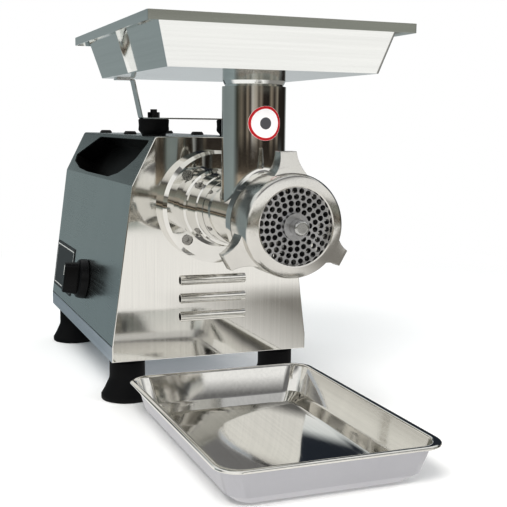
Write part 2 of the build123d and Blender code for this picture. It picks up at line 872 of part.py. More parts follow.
with BuildPart() as feed_pan:
    add(pan_block(0, pan_floor, pan_rim_height))
    with BuildSketch(Plane((0, pan_middle, pan_rim_height - pan_lip))):
        RectangleRounded(2 * pan_half_width, pan_length, 3)
        RectangleRounded(
            2 * (pan_half_width - pan_gauge),
            pan_length - 2 * pan_gauge,
            2,
            mode=Mode.SUBTRACT,
        )
    extrude(amount=pan_lip)
    with BuildSketch(Plane((0, pan_middle, pan_rim_height - pan_gauge))):
        RectangleRounded(2 * pan_half_width, pan_length, 3)
    extrude(amount=pan_gauge)
    # Neck: a straight collar under the floor, a short cone, and a sleeve that hangs in the throat.
    with BuildSketch(Plane((0, front - throat_place, pan_floor))):
        Circle(neck_top_radius)
    extrude(amount=-neck_collar)
    with BuildSketch(Plane((0, front - throat_place, pan_floor - neck_collar))):
        Circle(neck_top_radius)
    with BuildSketch(Plane((0, front - throat_place, throat_top + neck_gap))):
        Circle(neck_radius + 0.5)
    loft()
    with BuildSketch(Plane((0, front - throat_place, pan_floor - neck_depth))):
        Circle(neck_radius)
    extrude(amount=neck_depth)
    add(pan_block(pan_gauge, pan_floor + pan_gauge, pan_rim_height), mode=Mode.SUBTRACT)
    with BuildSketch(Plane((0, front - throat_place, pan_floor + pan_gauge))):
        Circle(neck_top_radius - pan_gauge)
    extrude(amount=-neck_collar, mode=Mode.SUBTRACT)
    with BuildSketch(Plane((0, front - throat_place, pan_floor + pan_gauge - neck_collar))):
        Circle(neck_top_radius - pan_gauge)
    with BuildSketch(Plane((0, front - throat_place, throat_top + neck_gap + pan_gauge))):
        Circle(neck_radius - pan_gauge)
    loft(mode=Mode.SUBTRACT)
    with BuildSketch(Plane((0, front - throat_place, pan_floor - neck_depth))):
        Circle(neck_radius - pan_gauge)
    extrude(amount=neck_depth, mode=Mode.SUBTRACT)
feed_pan.part.label = "feed_pan"

with BuildPart() as pan_bracket:
    tab_height = pan_floor - sliding_gap
    web_height = top_height + buffer_height
    tab_reach = bracket_half_span + bracket_lean
    with BuildSketch(facing_front(front + bracket_place - bracket_width / 2)):
        with BuildLine() as strap:
            FilletPolyline(
                (-tab_reach - bracket_tab, tab_height - bracket_gauge / 2),
                (-tab_reach, tab_height - bracket_gauge / 2),
                (-bracket_half_span, web_height + bracket_gauge / 2),
                (bracket_half_span, web_height + bracket_gauge / 2),
                (tab_reach, tab_height - bracket_gauge / 2),
                (tab_reach + bracket_tab, tab_height - bracket_gauge / 2),
                radius=2.5,
            )
            offset(amount=bracket_gauge / 2, kind=Kind.TANGENT, side=Side.BOTH)
        make_face()
    extrude(amount=-bracket_width)
    with Locations(Plane.XY.offset(web_height + bracket_gauge)):
        with Locations((0, front + bracket_place)):
            with GridLocations(buffer_spacing, 1, 2, 1):
                Hole(radius=bolt_radius, depth=2 * bracket_gauge)
pan_bracket.part.label = "pan_bracket"

with BuildPart() as rubber_buffers:
    with Locations((0, front + bracket_place, top_height)):
        with GridLocations(buffer_spacing, 1, 2, 1):
            Cylinder(
                buffer_radius - buffer_flare,
                buffer_foot,
                align=(Align.CENTER, Align.CENTER, Align.MIN),
            )
    with Locations((0, front + bracket_place, top_height + buffer_foot)):
        with GridLocations(buffer_spacing, 1, 2, 1):
            Cone(
                buffer_radius - buffer_flare,
                buffer_radius,
                buffer_flare,
                align=(Align.CENTER, Align.CENTER, Align.MIN),
            )
    with Locations((0, front + bracket_place, top_height + buffer_foot + buffer_flare)):
        with GridLocations(buffer_spacing, 1, 2, 1):
            Cylinder(
                buffer_radius,
                buffer_height - buffer_foot - buffer_flare,
                align=(Align.CENTER, Align.CENTER, Align.MIN),
            )
    with Locations((0, front + bracket_place, top_height)):
        with GridLocations(buffer_spacing, 1, 2, 1):
            Cylinder(
                bolt_radius,
                buffer_height,
                align=(Align.CENTER, Align.CENTER, Align.MIN),
                mode=Mode.SUBTRACT,
            )
rubber_buffers.part.label = "rubber_buffers"

with BuildPart() as buffer_studs:
    with BuildSketch(Plane((0, front + bracket_place, top_height - cover_gauge - bolt_nut - 1.5))):
        with GridLocations(buffer_spacing, 1, 2, 1):
            Circle(bolt_radius)
    extrude(amount=buffer_height + bracket_gauge + cover_gauge + 2 * bolt_nut + 5)
    with BuildSketch(Plane((0, front + bracket_place, web_height + bracket_gauge))):
        with GridLocations(buffer_spacing, 1, 2, 1):
            RegularPolygon(bolt_nut_radius, 6)
    extrude(amount=bolt_nut)
    with BuildSketch(Plane((0, front + bracket_place, top_height - cover_gauge - bolt_nut))):
        with GridLocations(buffer_spacing, 1, 2, 1):
            RegularPolygon(bolt_nut_radius, 6)
    extrude(amount=bolt_nut)
buffer_studs.part.label = "buffer_studs"

# ---------------------------------------------------------------- catching tray
tray_middle = (tray_front + tray_back) / 2


def tray_block(inset, floor, top):
    """Solid between two heights with the tray's drawn sides, `inset` inside its outer faces."""
    slope = tray_taper / tray_height
    with BuildPart() as block:
        for height in (floor, top):
            side_inset = inset + tray_rim + slope * (tray_height - height)
            with BuildSketch(Plane((0, tray_middle, height))):
                RectangleRounded(
                    2 * (tray_half_width - side_inset),
                    tray_length - 2 * side_inset,
                    tray_corner - side_inset / 2,
                )
        loft()
    return block.part


with BuildPart() as meat_tray:
    add(tray_block(0, 0, tray_height))
    fillet(meat_tray.faces().sort_by(Axis.Z)[0].edges(), 6)
    with BuildSketch(Plane((0, tray_middle, tray_height - tray_gauge))):
        RectangleRounded(2 * tray_half_width, tray_length, tray_corner)
    extrude(amount=tray_gauge)
    with BuildSketch(Plane((0, tray_middle, tray_height - 3))):
        RectangleRounded(2 * tray_half_width, tray_length, tray_corner)
        RectangleRounded(
            2 * (tray_half_width - tray_gauge),
            tray_length - 2 * tray_gauge,
            tray_corner - tray_gauge,
            mode=Mode.SUBTRACT,
        )
    extrude(amount=3)
    with BuildPart(mode=Mode.PRIVATE) as hollow:
        add(tray_block(tray_gauge, tray_gauge, tray_height))
        fillet(hollow.faces().sort_by(Axis.Z)[0].edges(), 5)
    add(hollow.part, mode=Mode.SUBTRACT)
meat_tray.part.label = "meat_tray"

# ---------------------------------------------------------------- gearbox
def gear_section(module, teeth, turn):
    """Spur gear outline about the local origin, with one tooth's middle at `turn` degrees."""
    pitch_radius = module * teeth / 2
    with BuildSketch() as section:
        Circle(pitch_radius - 1.25 * module)
        with PolarLocations(0, teeth, start_angle=turn):
            Polygon(
                (pitch_radius - 1.5 * module, -1.0 * module),
                (pitch_radius - 0.9 * module, -0.86 * module),
                (pitch_radius, -0.66 * module),
                (pitch_radius + module, -0.28 * module),
                (pitch_radius + module, 0.28 * module),
                (pitch_radius, 0.66 * module),
                (pitch_radius - 0.9 * module, 0.86 * module),
                (pitch_radius - 1.5 * module, 1.0 * module),
                align=None,
            )
    return section.sketch


def gearbox_section(inset):
    """Outline that wraps the three gear centres, `inset` inside the casting's outer face."""
    with BuildSketch() as section:
        with Locations((0, axis_height)):
            Circle(flange_screw_circle + 8 - inset)
        with Locations((lay_side, lay_height)):
            Circle(lay_gear_teeth * fast_module / 2 + 10 - inset)
        with Locations((0, motor_axis_height)):
            Circle(40 - inset)
        make_hull()
    return section.sketch


with BuildPart() as gearbox_cover:
    with BuildSketch(facing_front(front + panel_gauge)):
        add(gearbox_section(0))
    extrude(amount=-(cover_rear - panel_gauge))
    with BuildSketch(facing_front(front + cover_rear)):
        with Locations((0, axis_height)):
            Circle(output_bearing_radius + boss_wall)
        with Locations((lay_side, lay_height)):
            Circle(lay_bearing_radius + boss_wall)
    extrude(amount=-boss_reach)
    with BuildSketch(on_axis(output_bearing_front)):
        Circle(output_bearing_radius)
    extrude(amount=-cover_rear - boss_reach, mode=Mode.SUBTRACT)
    with BuildSketch(on_axis(0)):
        Circle(seal_radius)
    extrude(amount=-cover_rear, mode=Mode.SUBTRACT)
    with BuildSketch(facing_front(front + lay_bearing_front, lay_side, lay_height)):
        Circle(lay_bearing_radius)
    extrude(amount=-cover_rear - boss_reach, mode=Mode.SUBTRACT)
    with BuildSketch(on_axis(panel_gauge)):
        with PolarLocations(flange_screw_circle, 4, start_angle=45):
            Circle(flange_screw_radius)
    extrude(amount=-flange_screw_grip, mode=Mode.SUBTRACT)
gearbox_cover.part.label = "gearbox_cover"

with BuildPart() as gearbox_housing:
    with BuildSketch(facing_front(front + cover_rear)):
        add(gearbox_section(0))
    extrude(amount=-(gearbox_end - cover_rear))
    with BuildSketch(facing_front(front + cover_rear)):
        add(gearbox_section(gearbox_wall))
    extrude(amount=-(gearbox_end - cover_rear - case_floor), mode=Mode.SUBTRACT)
    # Rear bearing seats of output shaft and layshaft, and the spigot hole of the motor.
    with BuildSketch(facing_front(front + gearbox_end - case_floor)):
        with Locations((0, axis_height)):
            Circle(output_rear_bearing_radius)
        with Locations((lay_side, lay_height)):
            Circle(lay_rear_bearing_radius)
    extrude(amount=-bearing_width, mode=Mode.SUBTRACT)
    with BuildSketch(facing_front(front + gearbox_end - case_floor, 0, motor_axis_height)):
        Circle(motor_spigot_radius)
    extrude(amount=-case_floor, mode=Mode.SUBTRACT)
gearbox_housing.part.label = "gearbox_housing"

with BuildPart() as output_bearings:
    with BuildSketch(on_axis(output_bearing_front)):
        Circle(output_bearing_radius)
        Circle(shaft_radius + running_gap, mode=Mode.SUBTRACT)
    extrude(amount=-(cover_rear + boss_reach - output_bearing_front))
    with BuildSketch(on_axis(gearbox_end - case_floor)):
        Circle(output_rear_bearing_radius)
        Circle(output_rear_shaft_radius + running_gap, mode=Mode.SUBTRACT)
    extrude(amount=-bearing_width)
output_bearings.part.label = "output_bearings"

with BuildPart() as output_shaft:
    with BuildSketch(on_axis(-shaft_end)):
        Circle(shaft_radius)
        Rectangle(square, square, mode=Mode.SUBTRACT)
    extrude(amount=-socket_depth)
    with BuildSketch(on_axis(-shaft_end + socket_depth)):
        Circle(shaft_radius)
    extrude(amount=-(shaft_end - socket_depth + gearbox_end - case_floor - shaft_step))
    with BuildSketch(on_axis(gearbox_end - case_floor - shaft_step)):
        Circle(output_rear_shaft_radius)
    extrude(amount=-shaft_step - bearing_width + 1)
    with BuildSketch(on_axis(gear_band_front - 1.5 * shaft_collar)):
        Circle(shaft_radius + shaft_collar)
    extrude(amount=-shaft_collar)
output_shaft.part.label = "output_shaft"

with BuildPart() as output_gear:
    with BuildSketch(on_axis(gear_band_front)):
        add(gear_section(slow_module, output_teeth, slow_mesh_angle + 180 + 180 / output_teeth))
        Circle(shaft_radius, mode=Mode.SUBTRACT)
        with PolarLocations(29, 6):
            Circle(6, mode=Mode.SUBTRACT)
    extrude(amount=-slow_width)
output_gear.part.label = "output_gear"

with BuildPart() as layshaft:
    with BuildSketch(facing_front(front + lay_bearing_front, lay_side, lay_height)):
        Circle(layshaft_radius)
    extrude(amount=-(gearbox_end - 3 - lay_bearing_front))
    with BuildSketch(facing_front(front + gear_band_front - 1, lay_side, lay_height)):
        add(gear_section(slow_module, lay_pinion_teeth, slow_mesh_angle))
    extrude(amount=-(slow_width + 2))
layshaft.part.label = "layshaft"

with BuildPart() as layshaft_gear:
    with BuildSketch(facing_front(front + fast_front, lay_side, lay_height)):
        add(gear_section(fast_module, lay_gear_teeth, fast_mesh_angle + 180 + 180 / lay_gear_teeth))
        Circle(layshaft_radius, mode=Mode.SUBTRACT)
        with PolarLocations(22, 5):
            Circle(5, mode=Mode.SUBTRACT)
    extrude(amount=-fast_width)
layshaft_gear.part.label = "layshaft_gear"

with BuildPart() as layshaft_bearings:
    lay_seats = (
        (lay_bearing_front, lay_bearing_radius),
        (gearbox_end - case_floor, lay_rear_bearing_radius),
    )
    for place, outer in lay_seats:
        with BuildSketch(facing_front(front + place, lay_side, lay_height)):
            Circle(outer)
            Circle(layshaft_radius + running_gap, mode=Mode.SUBTRACT)
        extrude(amount=-bearing_width)
layshaft_bearings.part.label = "layshaft_bearings"

# ---------------------------------------------------------------- motor
frame_start = gearbox_end + bell_width
frame_end = frame_start + motor_length


def on_motor(y):
    """Plane across the motor, y behind the front panel's face, centred on the motor's shaft."""
    return facing_front(front + y, 0, motor_axis_height)


with BuildPart() as motor_frame:
    with BuildSketch(on_motor(frame_start)):
        Circle(motor_radius - fin_depth)
        with PolarLocations(motor_radius - fin_depth, fin_count):
            Rectangle(2 * fin_depth + 1, fin_thickness)
        Circle(motor_radius - fin_depth - frame_wall, mode=Mode.SUBTRACT)
    extrude(amount=-motor_length)
motor_frame.part.label = "motor_frame"

with BuildPart() as motor_end_bells:
    for place in (gearbox_end, frame_end):
        with BuildSketch(on_motor(place)):
            Circle(motor_radius - fin_depth)
        extrude(amount=-bell_width)
    with BuildSketch(on_motor(gearbox_end)):
        Circle(motor_spigot_radius)
    extrude(amount=bell_width)
    with BuildSketch(on_motor(gearbox_end - motor_bearing_front)):
        Circle(motor_bearing_radius)
    extrude(amount=-bearing_width, mode=Mode.SUBTRACT)
    with BuildSketch(on_motor(frame_end)):
        Circle(motor_rear_bearing_radius)
    extrude(amount=-motor_rear_bearing_width, mode=Mode.SUBTRACT)
    with BuildSketch(on_motor(gearbox_end - bell_width - boss_reach)):
        Circle(motor_shaft_radius + 1)
    extrude(amount=-(motor_length + 3 * bell_width + boss_reach), mode=Mode.SUBTRACT)
motor_end_bells.part.label = "motor_end_bells"

with BuildPart() as motor_bearings:
    with BuildSketch(on_motor(gearbox_end - motor_bearing_front)):
        Circle(motor_bearing_radius)
        Circle(motor_shaft_radius + running_gap, mode=Mode.SUBTRACT)
    extrude(amount=-bearing_width)
    with BuildSketch(on_motor(frame_end)):
        Circle(motor_rear_bearing_radius)
        Circle(motor_shaft_radius + running_gap, mode=Mode.SUBTRACT)
    extrude(amount=-motor_rear_bearing_width)
motor_bearings.part.label = "motor_bearings"

with BuildPart() as stator_core:
    with BuildSketch(on_motor(frame_start + stator_inset)):
        Circle(motor_radius - fin_depth - frame_wall)
        Circle(stator_bore_radius, mode=Mode.SUBTRACT)
        with PolarLocations(slot_circle, slot_count):
            SlotOverall(slot_length, slot_width, mode=Mode.SUBTRACT)
    extrude(amount=-(motor_length - 2 * stator_inset))
stator_core.part.label = "stator_core"

with BuildPart() as stator_windings:
    with BuildSketch(on_motor(frame_start + stator_inset)):
        with PolarLocations(slot_circle, slot_count):
            SlotOverall(slot_length, slot_width)
    extrude(amount=-(motor_length - 2 * stator_inset))
    for place in (frame_start + stator_inset - winding_reach, frame_end - stator_inset):
        with BuildSketch(on_motor(place)):
            Circle(winding_outer_radius)
            Circle(winding_inner_radius, mode=Mode.SUBTRACT)
        extrude(amount=-winding_reach)
stator_windings.part.label = "stator_windings"

with BuildPart() as rotor_core:
    with BuildSketch(on_motor(frame_start + rotor_inset)):
        Circle(stator_bore_radius - air_gap)
        Circle(motor_shaft_radius, mode=Mode.SUBTRACT)
    extrude(amount=-(motor_length - 2 * rotor_inset))
rotor_core.part.label = "rotor_core"

with BuildPart() as motor_shaft:
    with BuildSketch(on_motor(fast_front - 2)):
        Circle(pinion_seat_radius)
    extrude(amount=-(gearbox_end - motor_bearing_front - 1 - fast_front + 2))
    with BuildSketch(on_motor(gearbox_end - motor_bearing_front - 1)):
        Circle(motor_shaft_radius)
    extrude(amount=-(frame_end + shaft_tail - gearbox_end + motor_bearing_front + 1))
motor_shaft.part.label = "motor_shaft"

with BuildPart() as motor_pinion:
    with BuildSketch(on_motor(fast_front - 1)):
        add(gear_section(fast_module, motor_teeth, fast_mesh_angle))
        Circle(pinion_seat_radius, mode=Mode.SUBTRACT)
    extrude(amount=-(fast_width + 4))
motor_pinion.part.label = "motor_pinion"

with BuildPart() as cooling_fan:
    with BuildSketch(on_motor(frame_end + fan_place)):
        Circle(fan_radius)
        Circle(motor_shaft_radius, mode=Mode.SUBTRACT)
    extrude(amount=-fan_disc)
    with BuildSketch(on_motor(frame_end + fan_place)):
        Circle(fan_hub_radius)
        Circle(motor_shaft_radius, mode=Mode.SUBTRACT)
        with PolarLocations(fan_radius - 0.5 - blade_length / 2, fan_blades):
            Rectangle(blade_length, 2)
    extrude(amount=-fan_width)
cooling_fan.part.label = "cooling_fan"

with BuildPart() as fan_cowl:
    with BuildSketch(on_motor(frame_end + bell_width)):
        Circle(motor_radius - fin_depth)
        Circle(motor_radius - fin_depth - cowl_gauge, mode=Mode.SUBTRACT)
    extrude(amount=-cowl_length)
    with BuildSketch(on_motor(frame_end + bell_width + cowl_length)):
        Circle(motor_radius - fin_depth)
        for ring_radius, count in ((18, 8), (28, 12), (38, 16), (48, 20)):
            with PolarLocations(ring_radius, count):
                Circle(3.4, mode=Mode.SUBTRACT)
    extrude(amount=-cowl_gauge)
fan_cowl.part.label = "fan_cowl"

with BuildPart() as motor_cradle:
    cradle_height = motor_axis_height - foot_height - panel_gauge
    with BuildSketch(on_motor(frame_start + cradle_inset)):
        with Locations((0, -cradle_height)):
            Rectangle(cradle_width, cradle_height - 20, align=(Align.CENTER, Align.MIN))
        with Locations((0, -cradle_height + cradle_gauge)):
            Rectangle(
                cradle_width - 2 * cradle_gauge,
                cradle_height,
                align=(Align.CENTER, Align.MIN),
                mode=Mode.SUBTRACT,
            )
        with Locations((0, -cradle_height)):
            Rectangle(cradle_width + 2 * cradle_foot, cradle_gauge, align=(Align.CENTER, Align.MIN))
        Circle(motor_radius + 1, mode=Mode.SUBTRACT)
    extrude(amount=-(motor_length - 2 * cradle_inset))
motor_cradle.part.label = "motor_cradle"

capacitor_rear = back - capacitor_rear_margin
capacitor_height = foot_height + panel_gauge + capacitor_lift + capacitor_radius

with BuildPart() as run_capacitor:
    with BuildSketch(facing_front(capacitor_rear, capacitor_side, capacitor_height)):
        Circle(capacitor_radius)
    extrude(amount=-capacitor_length)
    with BuildSketch(facing_front(capacitor_rear, capacitor_side, capacitor_height)):
        with Locations((-terminal_spacing / 2, 0), (terminal_spacing / 2, 0)):
            Rectangle(1, 6)
    extrude(amount=terminal_length)
run_capacitor.part.label = "run_capacitor"

with BuildPart() as capacitor_clamp:
    foot_level = -capacitor_radius - capacitor_lift
    with BuildSketch(facing_front(capacitor_rear + clamp_place, capacitor_side, capacitor_height)):
        Circle(capacitor_radius + clamp_gauge)
        with Locations((4, foot_level)):
            Rectangle(clamp_foot, clamp_gauge, align=(Align.CENTER, Align.MIN))
        with Locations((0, foot_level)):
            Rectangle(capacitor_radius / 2, capacitor_lift + 1, align=(Align.CENTER, Align.MIN))
        Circle(capacitor_radius, mode=Mode.SUBTRACT)
    extrude(amount=-clamp_width)
capacitor_clamp.part.label = "capacitor_clamp"

with BuildPart() as shaft_seal:
    with BuildSketch(on_axis(-chamber_wall)):
        Circle(seal_radius)
        Circle(shaft_radius + running_gap, mode=Mode.SUBTRACT)
    extrude(amount=-seal_width)
shaft_seal.part.label = "shaft_seal"

pieces = [
    base_pan,
    side_cover,
    front_panel,
    rear_panel,
    left_hand_hold,
    right_hand_hold,
    rubber_feet,
    foot_bolts,
    foot_nuts,
    cover_screws,
    rating_plate,
    cable_gland,
    switch_body,
    switch_knob,
    switch_spindle,
    outlet_flange,
    flange_screws,
    collar_screws,
    grinder_head,
    head_label,
    worm,
    knife,
    perforated_plate,
    plate_key,
    ring_nut,
    feed_pan,
    pan_bracket,
    rubber_buffers,
    buffer_studs,
    meat_tray,
    gearbox_cover,
    gearbox_housing,
    output_bearings,
    output_shaft,
    output_gear,
    layshaft,
    layshaft_gear,
    layshaft_bearings,
    motor_frame,
    motor_end_bells,
    motor_bearings,
    stator_core,
    stator_windings,
    rotor_core,
    motor_shaft,
    motor_pinion,
    cooling_fan,
    fan_cowl,
    motor_cradle,
    run_capacitor,
    capacitor_clamp,
    shaft_seal,
]

os.makedirs("parts", exist_ok=True)
for piece in pieces:
    export_step(piece.part, f"parts/{piece.part.label}.step")
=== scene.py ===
"""Electric meat grinder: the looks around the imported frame. Metres, +Z up, the outlet faces -Y."""

import json
import math

import bmesh
import bpy
from mathutils import Matrix, Vector


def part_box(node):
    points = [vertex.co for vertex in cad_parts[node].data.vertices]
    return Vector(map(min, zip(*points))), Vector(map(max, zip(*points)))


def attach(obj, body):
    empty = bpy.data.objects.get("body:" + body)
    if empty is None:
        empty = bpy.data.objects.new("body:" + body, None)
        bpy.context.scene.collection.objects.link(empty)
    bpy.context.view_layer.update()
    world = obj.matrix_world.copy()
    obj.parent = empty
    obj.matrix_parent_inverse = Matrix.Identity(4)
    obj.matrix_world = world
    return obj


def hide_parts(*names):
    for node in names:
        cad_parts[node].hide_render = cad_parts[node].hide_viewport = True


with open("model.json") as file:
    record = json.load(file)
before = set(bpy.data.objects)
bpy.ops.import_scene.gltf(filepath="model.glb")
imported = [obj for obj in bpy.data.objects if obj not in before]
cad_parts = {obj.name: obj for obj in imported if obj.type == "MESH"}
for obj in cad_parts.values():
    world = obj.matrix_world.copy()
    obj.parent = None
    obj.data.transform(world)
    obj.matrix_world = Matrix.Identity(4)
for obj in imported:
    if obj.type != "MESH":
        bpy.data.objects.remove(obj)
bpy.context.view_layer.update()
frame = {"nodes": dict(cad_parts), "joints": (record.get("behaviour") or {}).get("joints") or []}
nodes = frame["nodes"]

# ---------------------------------------------------------------- studio
# The grinder stands on a pale sweep of card that fades into a white wall. One soft box hangs in front
# of it to the left, a second fills from the right and a third stands behind. The room that its
# polished steel shows is drawn in the world's colours, dim at the far end.
scene = bpy.context.scene
scene.view_settings.view_transform = "Standard"
scene.view_settings.gamma = 0.80

camera_place = Vector((-0.3645, -1.0930, 0.3249))
camera_aim = Vector((0.3630, 0.9222, -0.1336))
camera_roll = math.radians(0.69)
camera = bpy.data.objects.new("camera", bpy.data.cameras.new("camera"))
camera.data.sensor_width = 36
camera.data.lens = 68.02
camera.matrix_world = (
    Matrix.Translation(camera_place)
    @ camera_aim.to_track_quat("-Z", "Y").to_matrix().to_4x4()
    @ Matrix.Rotation(camera_roll, 4, "Z")
)
scene.collection.objects.link(camera)
scene.camera = camera


def soft_box(name, place, target, width, height, watts, tint):
    """A rectangular area light that looks from one point to another."""
    light = bpy.data.lights.new(name, "AREA")
    light.shape = "RECTANGLE"
    light.size = width
    light.size_y = height
    light.energy = watts
    light.color = tint
    lamp = bpy.data.objects.new(name, light)
    aim = Vector(target) - Vector(place)
    lamp.matrix_world = Matrix.Translation(place) @ aim.to_track_quat("-Z", "Y").to_matrix().to_4x4()
    lamp.visible_glossy = False
    scene.collection.objects.link(lamp)


soft_box("key_box", (-0.9, -1.3, 1.7), (0, 0, 0.2), 1.1, 0.7, 34, (1, 0.985, 0.96))
soft_box("fill_box", (1.5, -0.9, 1.0), (0, 0, 0.2), 0.7, 1.2, 15, (0.97, 0.985, 1))
soft_box("rear_box", (-0.5, 1.6, 1.5), (0, 0, 0.2), 1.2, 0.6, 14, (0.95, 0.98, 1))

world = bpy.data.worlds.new("studio")
world.use_nodes = True
scene.world = world
sky = world.node_tree
backdrop = sky.nodes["Background"]
look = sky.nodes.new("ShaderNodeTexCoord")
split = sky.nodes.new("ShaderNodeSeparateXYZ")
sky.links.new(look.outputs["Generated"], split.inputs["Vector"])


def ramp_of(stops, source, low, high):
    """Colours along a number that runs from low to high, from (number, colour) stops."""
    ramp = sky.nodes.new("ShaderNodeValToRGB")
    elements = ramp.color_ramp.elements
    while len(elements) < len(stops):
        elements.new(0.5)
    for element, (level, colour) in zip(elements, stops):
        element.position = (level - low) / (high - low)
        element.color = (*colour, 1)
    spread = sky.nodes.new("ShaderNodeMapRange")
    spread.inputs["From Min"].default_value = low
    spread.inputs["From Max"].default_value = high
    sky.links.new(source, spread.inputs["Value"])
    sky.links.new(spread.outputs["Result"], ramp.inputs["Fac"])
    return ramp.outputs["Color"]


def mixed(share, first, second):
    """One colour laid over another by a share."""
    mix = sky.nodes.new("ShaderNodeMix")
    mix.data_type = "RGBA"
    for socket, value in zip((mix.inputs[0], mix.inputs[6], mix.inputs[7]), (share, first, second)):
        if isinstance(value, tuple):
            socket.default_value = value
        else:
            sky.links.new(value, socket)
    return mix.outputs[2]


# Round the room at eye level, by the direction's angle from straight in front: dim doorways and pale
# screens stand in front, and a plain grey-green wall behind.
behind = sky.nodes.new("ShaderNodeMath")
behind.operation = "MULTIPLY"
behind.inputs[1].default_value = -1
sky.links.new(split.outputs["Y"], behind.inputs[0])
bearing = sky.nodes.new("ShaderNodeMath")
bearing.operation = "ARCTAN2"
sky.links.new(split.outputs["X"], bearing.inputs[0])
sky.links.new(behind.outputs["Value"], bearing.inputs[1])
degree = sky.nodes.new("ShaderNodeMath")
degree.operation = "DEGREES"
sky.links.new(bearing.outputs["Value"], degree.inputs[0])
eye_level = ramp_of(
    [
        (-180, (0.34, 0.38, 0.38)),
        (-150, (0.30, 0.345, 0.35)),
        (-100, (0.33, 0.38, 0.38)),
        (-84, (0.07, 0.075, 0.06)),
        (-66, (0.24, 0.21, 0.17)),
        (-52, (0.05, 0.045, 0.04)),
        (-44, (0.36, 0.31, 0.25)),
        (-34, (0.06, 0.05, 0.045)),
        (-26, (0.62, 0.60, 0.56)),
        (-12, (0.50, 0.46, 0.40)),
        (-4, (0.14, 0.12, 0.10)),
        (4, (0.34, 0.30, 0.25)),
        (14, (0.05, 0.04, 0.035)),
        (34, (0.04, 0.035, 0.03)),
        (44, (0.36, 0.31, 0.25)),
        (58, (0.06, 0.05, 0.045)),
        (72, (0.40, 0.36, 0.30)),
        (80, (0.05, 0.042, 0.036)),
        (122, (0.03, 0.026, 0.022)),
        (138, (0.50, 0.52, 0.52)),
        (166, (0.60, 0.63, 0.64)),
        (180, (0.34, 0.38, 0.38)),
    ],
    degree.outputs["Value"],
    -180,
    180,
)
lowest = -0.3
highest = 1.0
# From the far edge of the sweep up to the ceiling, in front: the sweep, a dark skirting, a beige
# dado, then the eye-level band, and a long soft box over it.
upper_front = ramp_of(
    [
        (-0.300, (1.0, 0.99, 0.97)),
        (-0.112, (0.97, 0.96, 0.93)),
        (-0.107, (0.42, 0.45, 0.42)),
        (-0.087, (0.34, 0.36, 0.33)),
        (-0.083, (0.03, 0.03, 0.028)),
        (-0.069, (0.028, 0.027, 0.025)),
        (-0.065, (0.72, 0.64, 0.52)),
        (-0.056, (0.50, 0.42, 0.33)),
        (-0.050, (0.09, 0.075, 0.06)),
        (-0.010, (0.022, 0.019, 0.016)),
        (0.05, (0.38, 0.40, 0.36)),
        (0.16, (0.26, 0.25, 0.22)),
        (0.17, (0.05, 0.05, 0.05)),
        (0.20, (0.80, 0.79, 0.77)),
        (0.26, (1.0, 1.0, 0.98)),
        (0.42, (1.0, 1.0, 0.99)),
        (0.64, (1.0, 1.0, 1.0)),
        (0.72, (0.22, 0.22, 0.22)),
        (0.90, (0.30, 0.30, 0.31)),
        (1.0, (0.75, 0.76, 0.77)),
    ],
    split.outputs["Z"],
    lowest,
    highest,
)
upper_rear = ramp_of(
    [
        (-0.30, (0.40, 0.44, 0.44)),
        (0.02, (0.29, 0.335, 0.345)),
        (0.18, (0.16, 0.18, 0.18)),
        (0.38, (0.09, 0.10, 0.10)),
        (0.48, (0.70, 0.74, 0.74)),
        (0.80, (1.0, 1.0, 1.0)),
    ],
    split.outputs["Z"],
    lowest,
    highest,
)
rearward = sky.nodes.new("ShaderNodeMapRange")
rearward.inputs["From Min"].default_value = -0.25
rearward.inputs["From Max"].default_value = 0.25
sky.links.new(split.outputs["Y"], rearward.inputs["Value"])


def eye_band(bottom, top, soft):
    """How much of the eye-level colours shows, by height: all of it from bottom to top."""
    stops = [(lowest, 0), (bottom - soft, 0), (bottom, 1), (top, 1), (top + soft, 0), (highest, 0)]
    return ramp_of([(level, (share,) * 3) for level, share in stops], split.outputs["Z"], lowest, highest)


level_share = mixed(rearward.outputs["Result"], eye_band(-0.012, 0.035, 0.02), eye_band(-0.16, 0.10, 0.05))
# High up behind, to the right, an unlit corner, which the floor of the tray looks up into.
corner_height = ramp_of(
    [(-0.3, (0, 0, 0)), (0.10, (0, 0, 0)), (0.15, (1, 1, 1)), (0.50, (1, 1, 1)), (0.58, (0, 0, 0))],
    split.outputs["Z"],
    lowest,
    highest,
)
corner_side = ramp_of(
    [(-0.4, (0, 0, 0)), (0.24, (0.25,) * 3), (0.30, (1, 1, 1)), (1, (1, 1, 1))],
    split.outputs["X"],
    -1,
    1,
)
corner_share = mixed(corner_height, (0.0, 0.0, 0.0, 1.0), corner_side)
rear_room = mixed(corner_share, upper_rear, (0.035, 0.042, 0.055, 1.0))
room = mixed(level_share, mixed(rearward.outputs["Result"], upper_front, rear_room), eye_level)
seen = sky.nodes.new("ShaderNodeLightPath")
wall = mixed(seen.outputs["Is Camera Ray"], room, (1.0, 1.0, 1.0, 1.0))
sky.links.new(wall, backdrop.inputs["Color"])

sweep_mesh = bmesh.new()
sweep_radius = 1.82
bmesh.ops.create_circle(sweep_mesh, cap_ends=True, segments=96, radius=sweep_radius)
sweep_data = bpy.data.meshes.new("card_sweep")
sweep_mesh.to_mesh(sweep_data)
sweep = bpy.data.objects.new("card_sweep", sweep_data)
scene.collection.objects.link(sweep)
card = bpy.data.materials.new("pale_card")
card.use_nodes = True
card_tree = card.node_tree
card_shader = card_tree.nodes["Principled BSDF"]
card_shader.inputs["Base Color"].default_value = (0.90, 0.90, 0.895, 1)
card_shader.inputs["Roughness"].default_value = 0.75
card_shader.inputs["Specular IOR Level"].default_value = 0.2
card_place = card_tree.nodes.new("ShaderNodeTexCoord")
card_parts = card_tree.nodes.new("ShaderNodeSeparateXYZ")
card_reach = card_tree.nodes.new("ShaderNodeVectorMath")
card_reach.operation = "LENGTH"
card_tree.links.new(card_place.outputs["Object"], card_parts.inputs["Vector"])
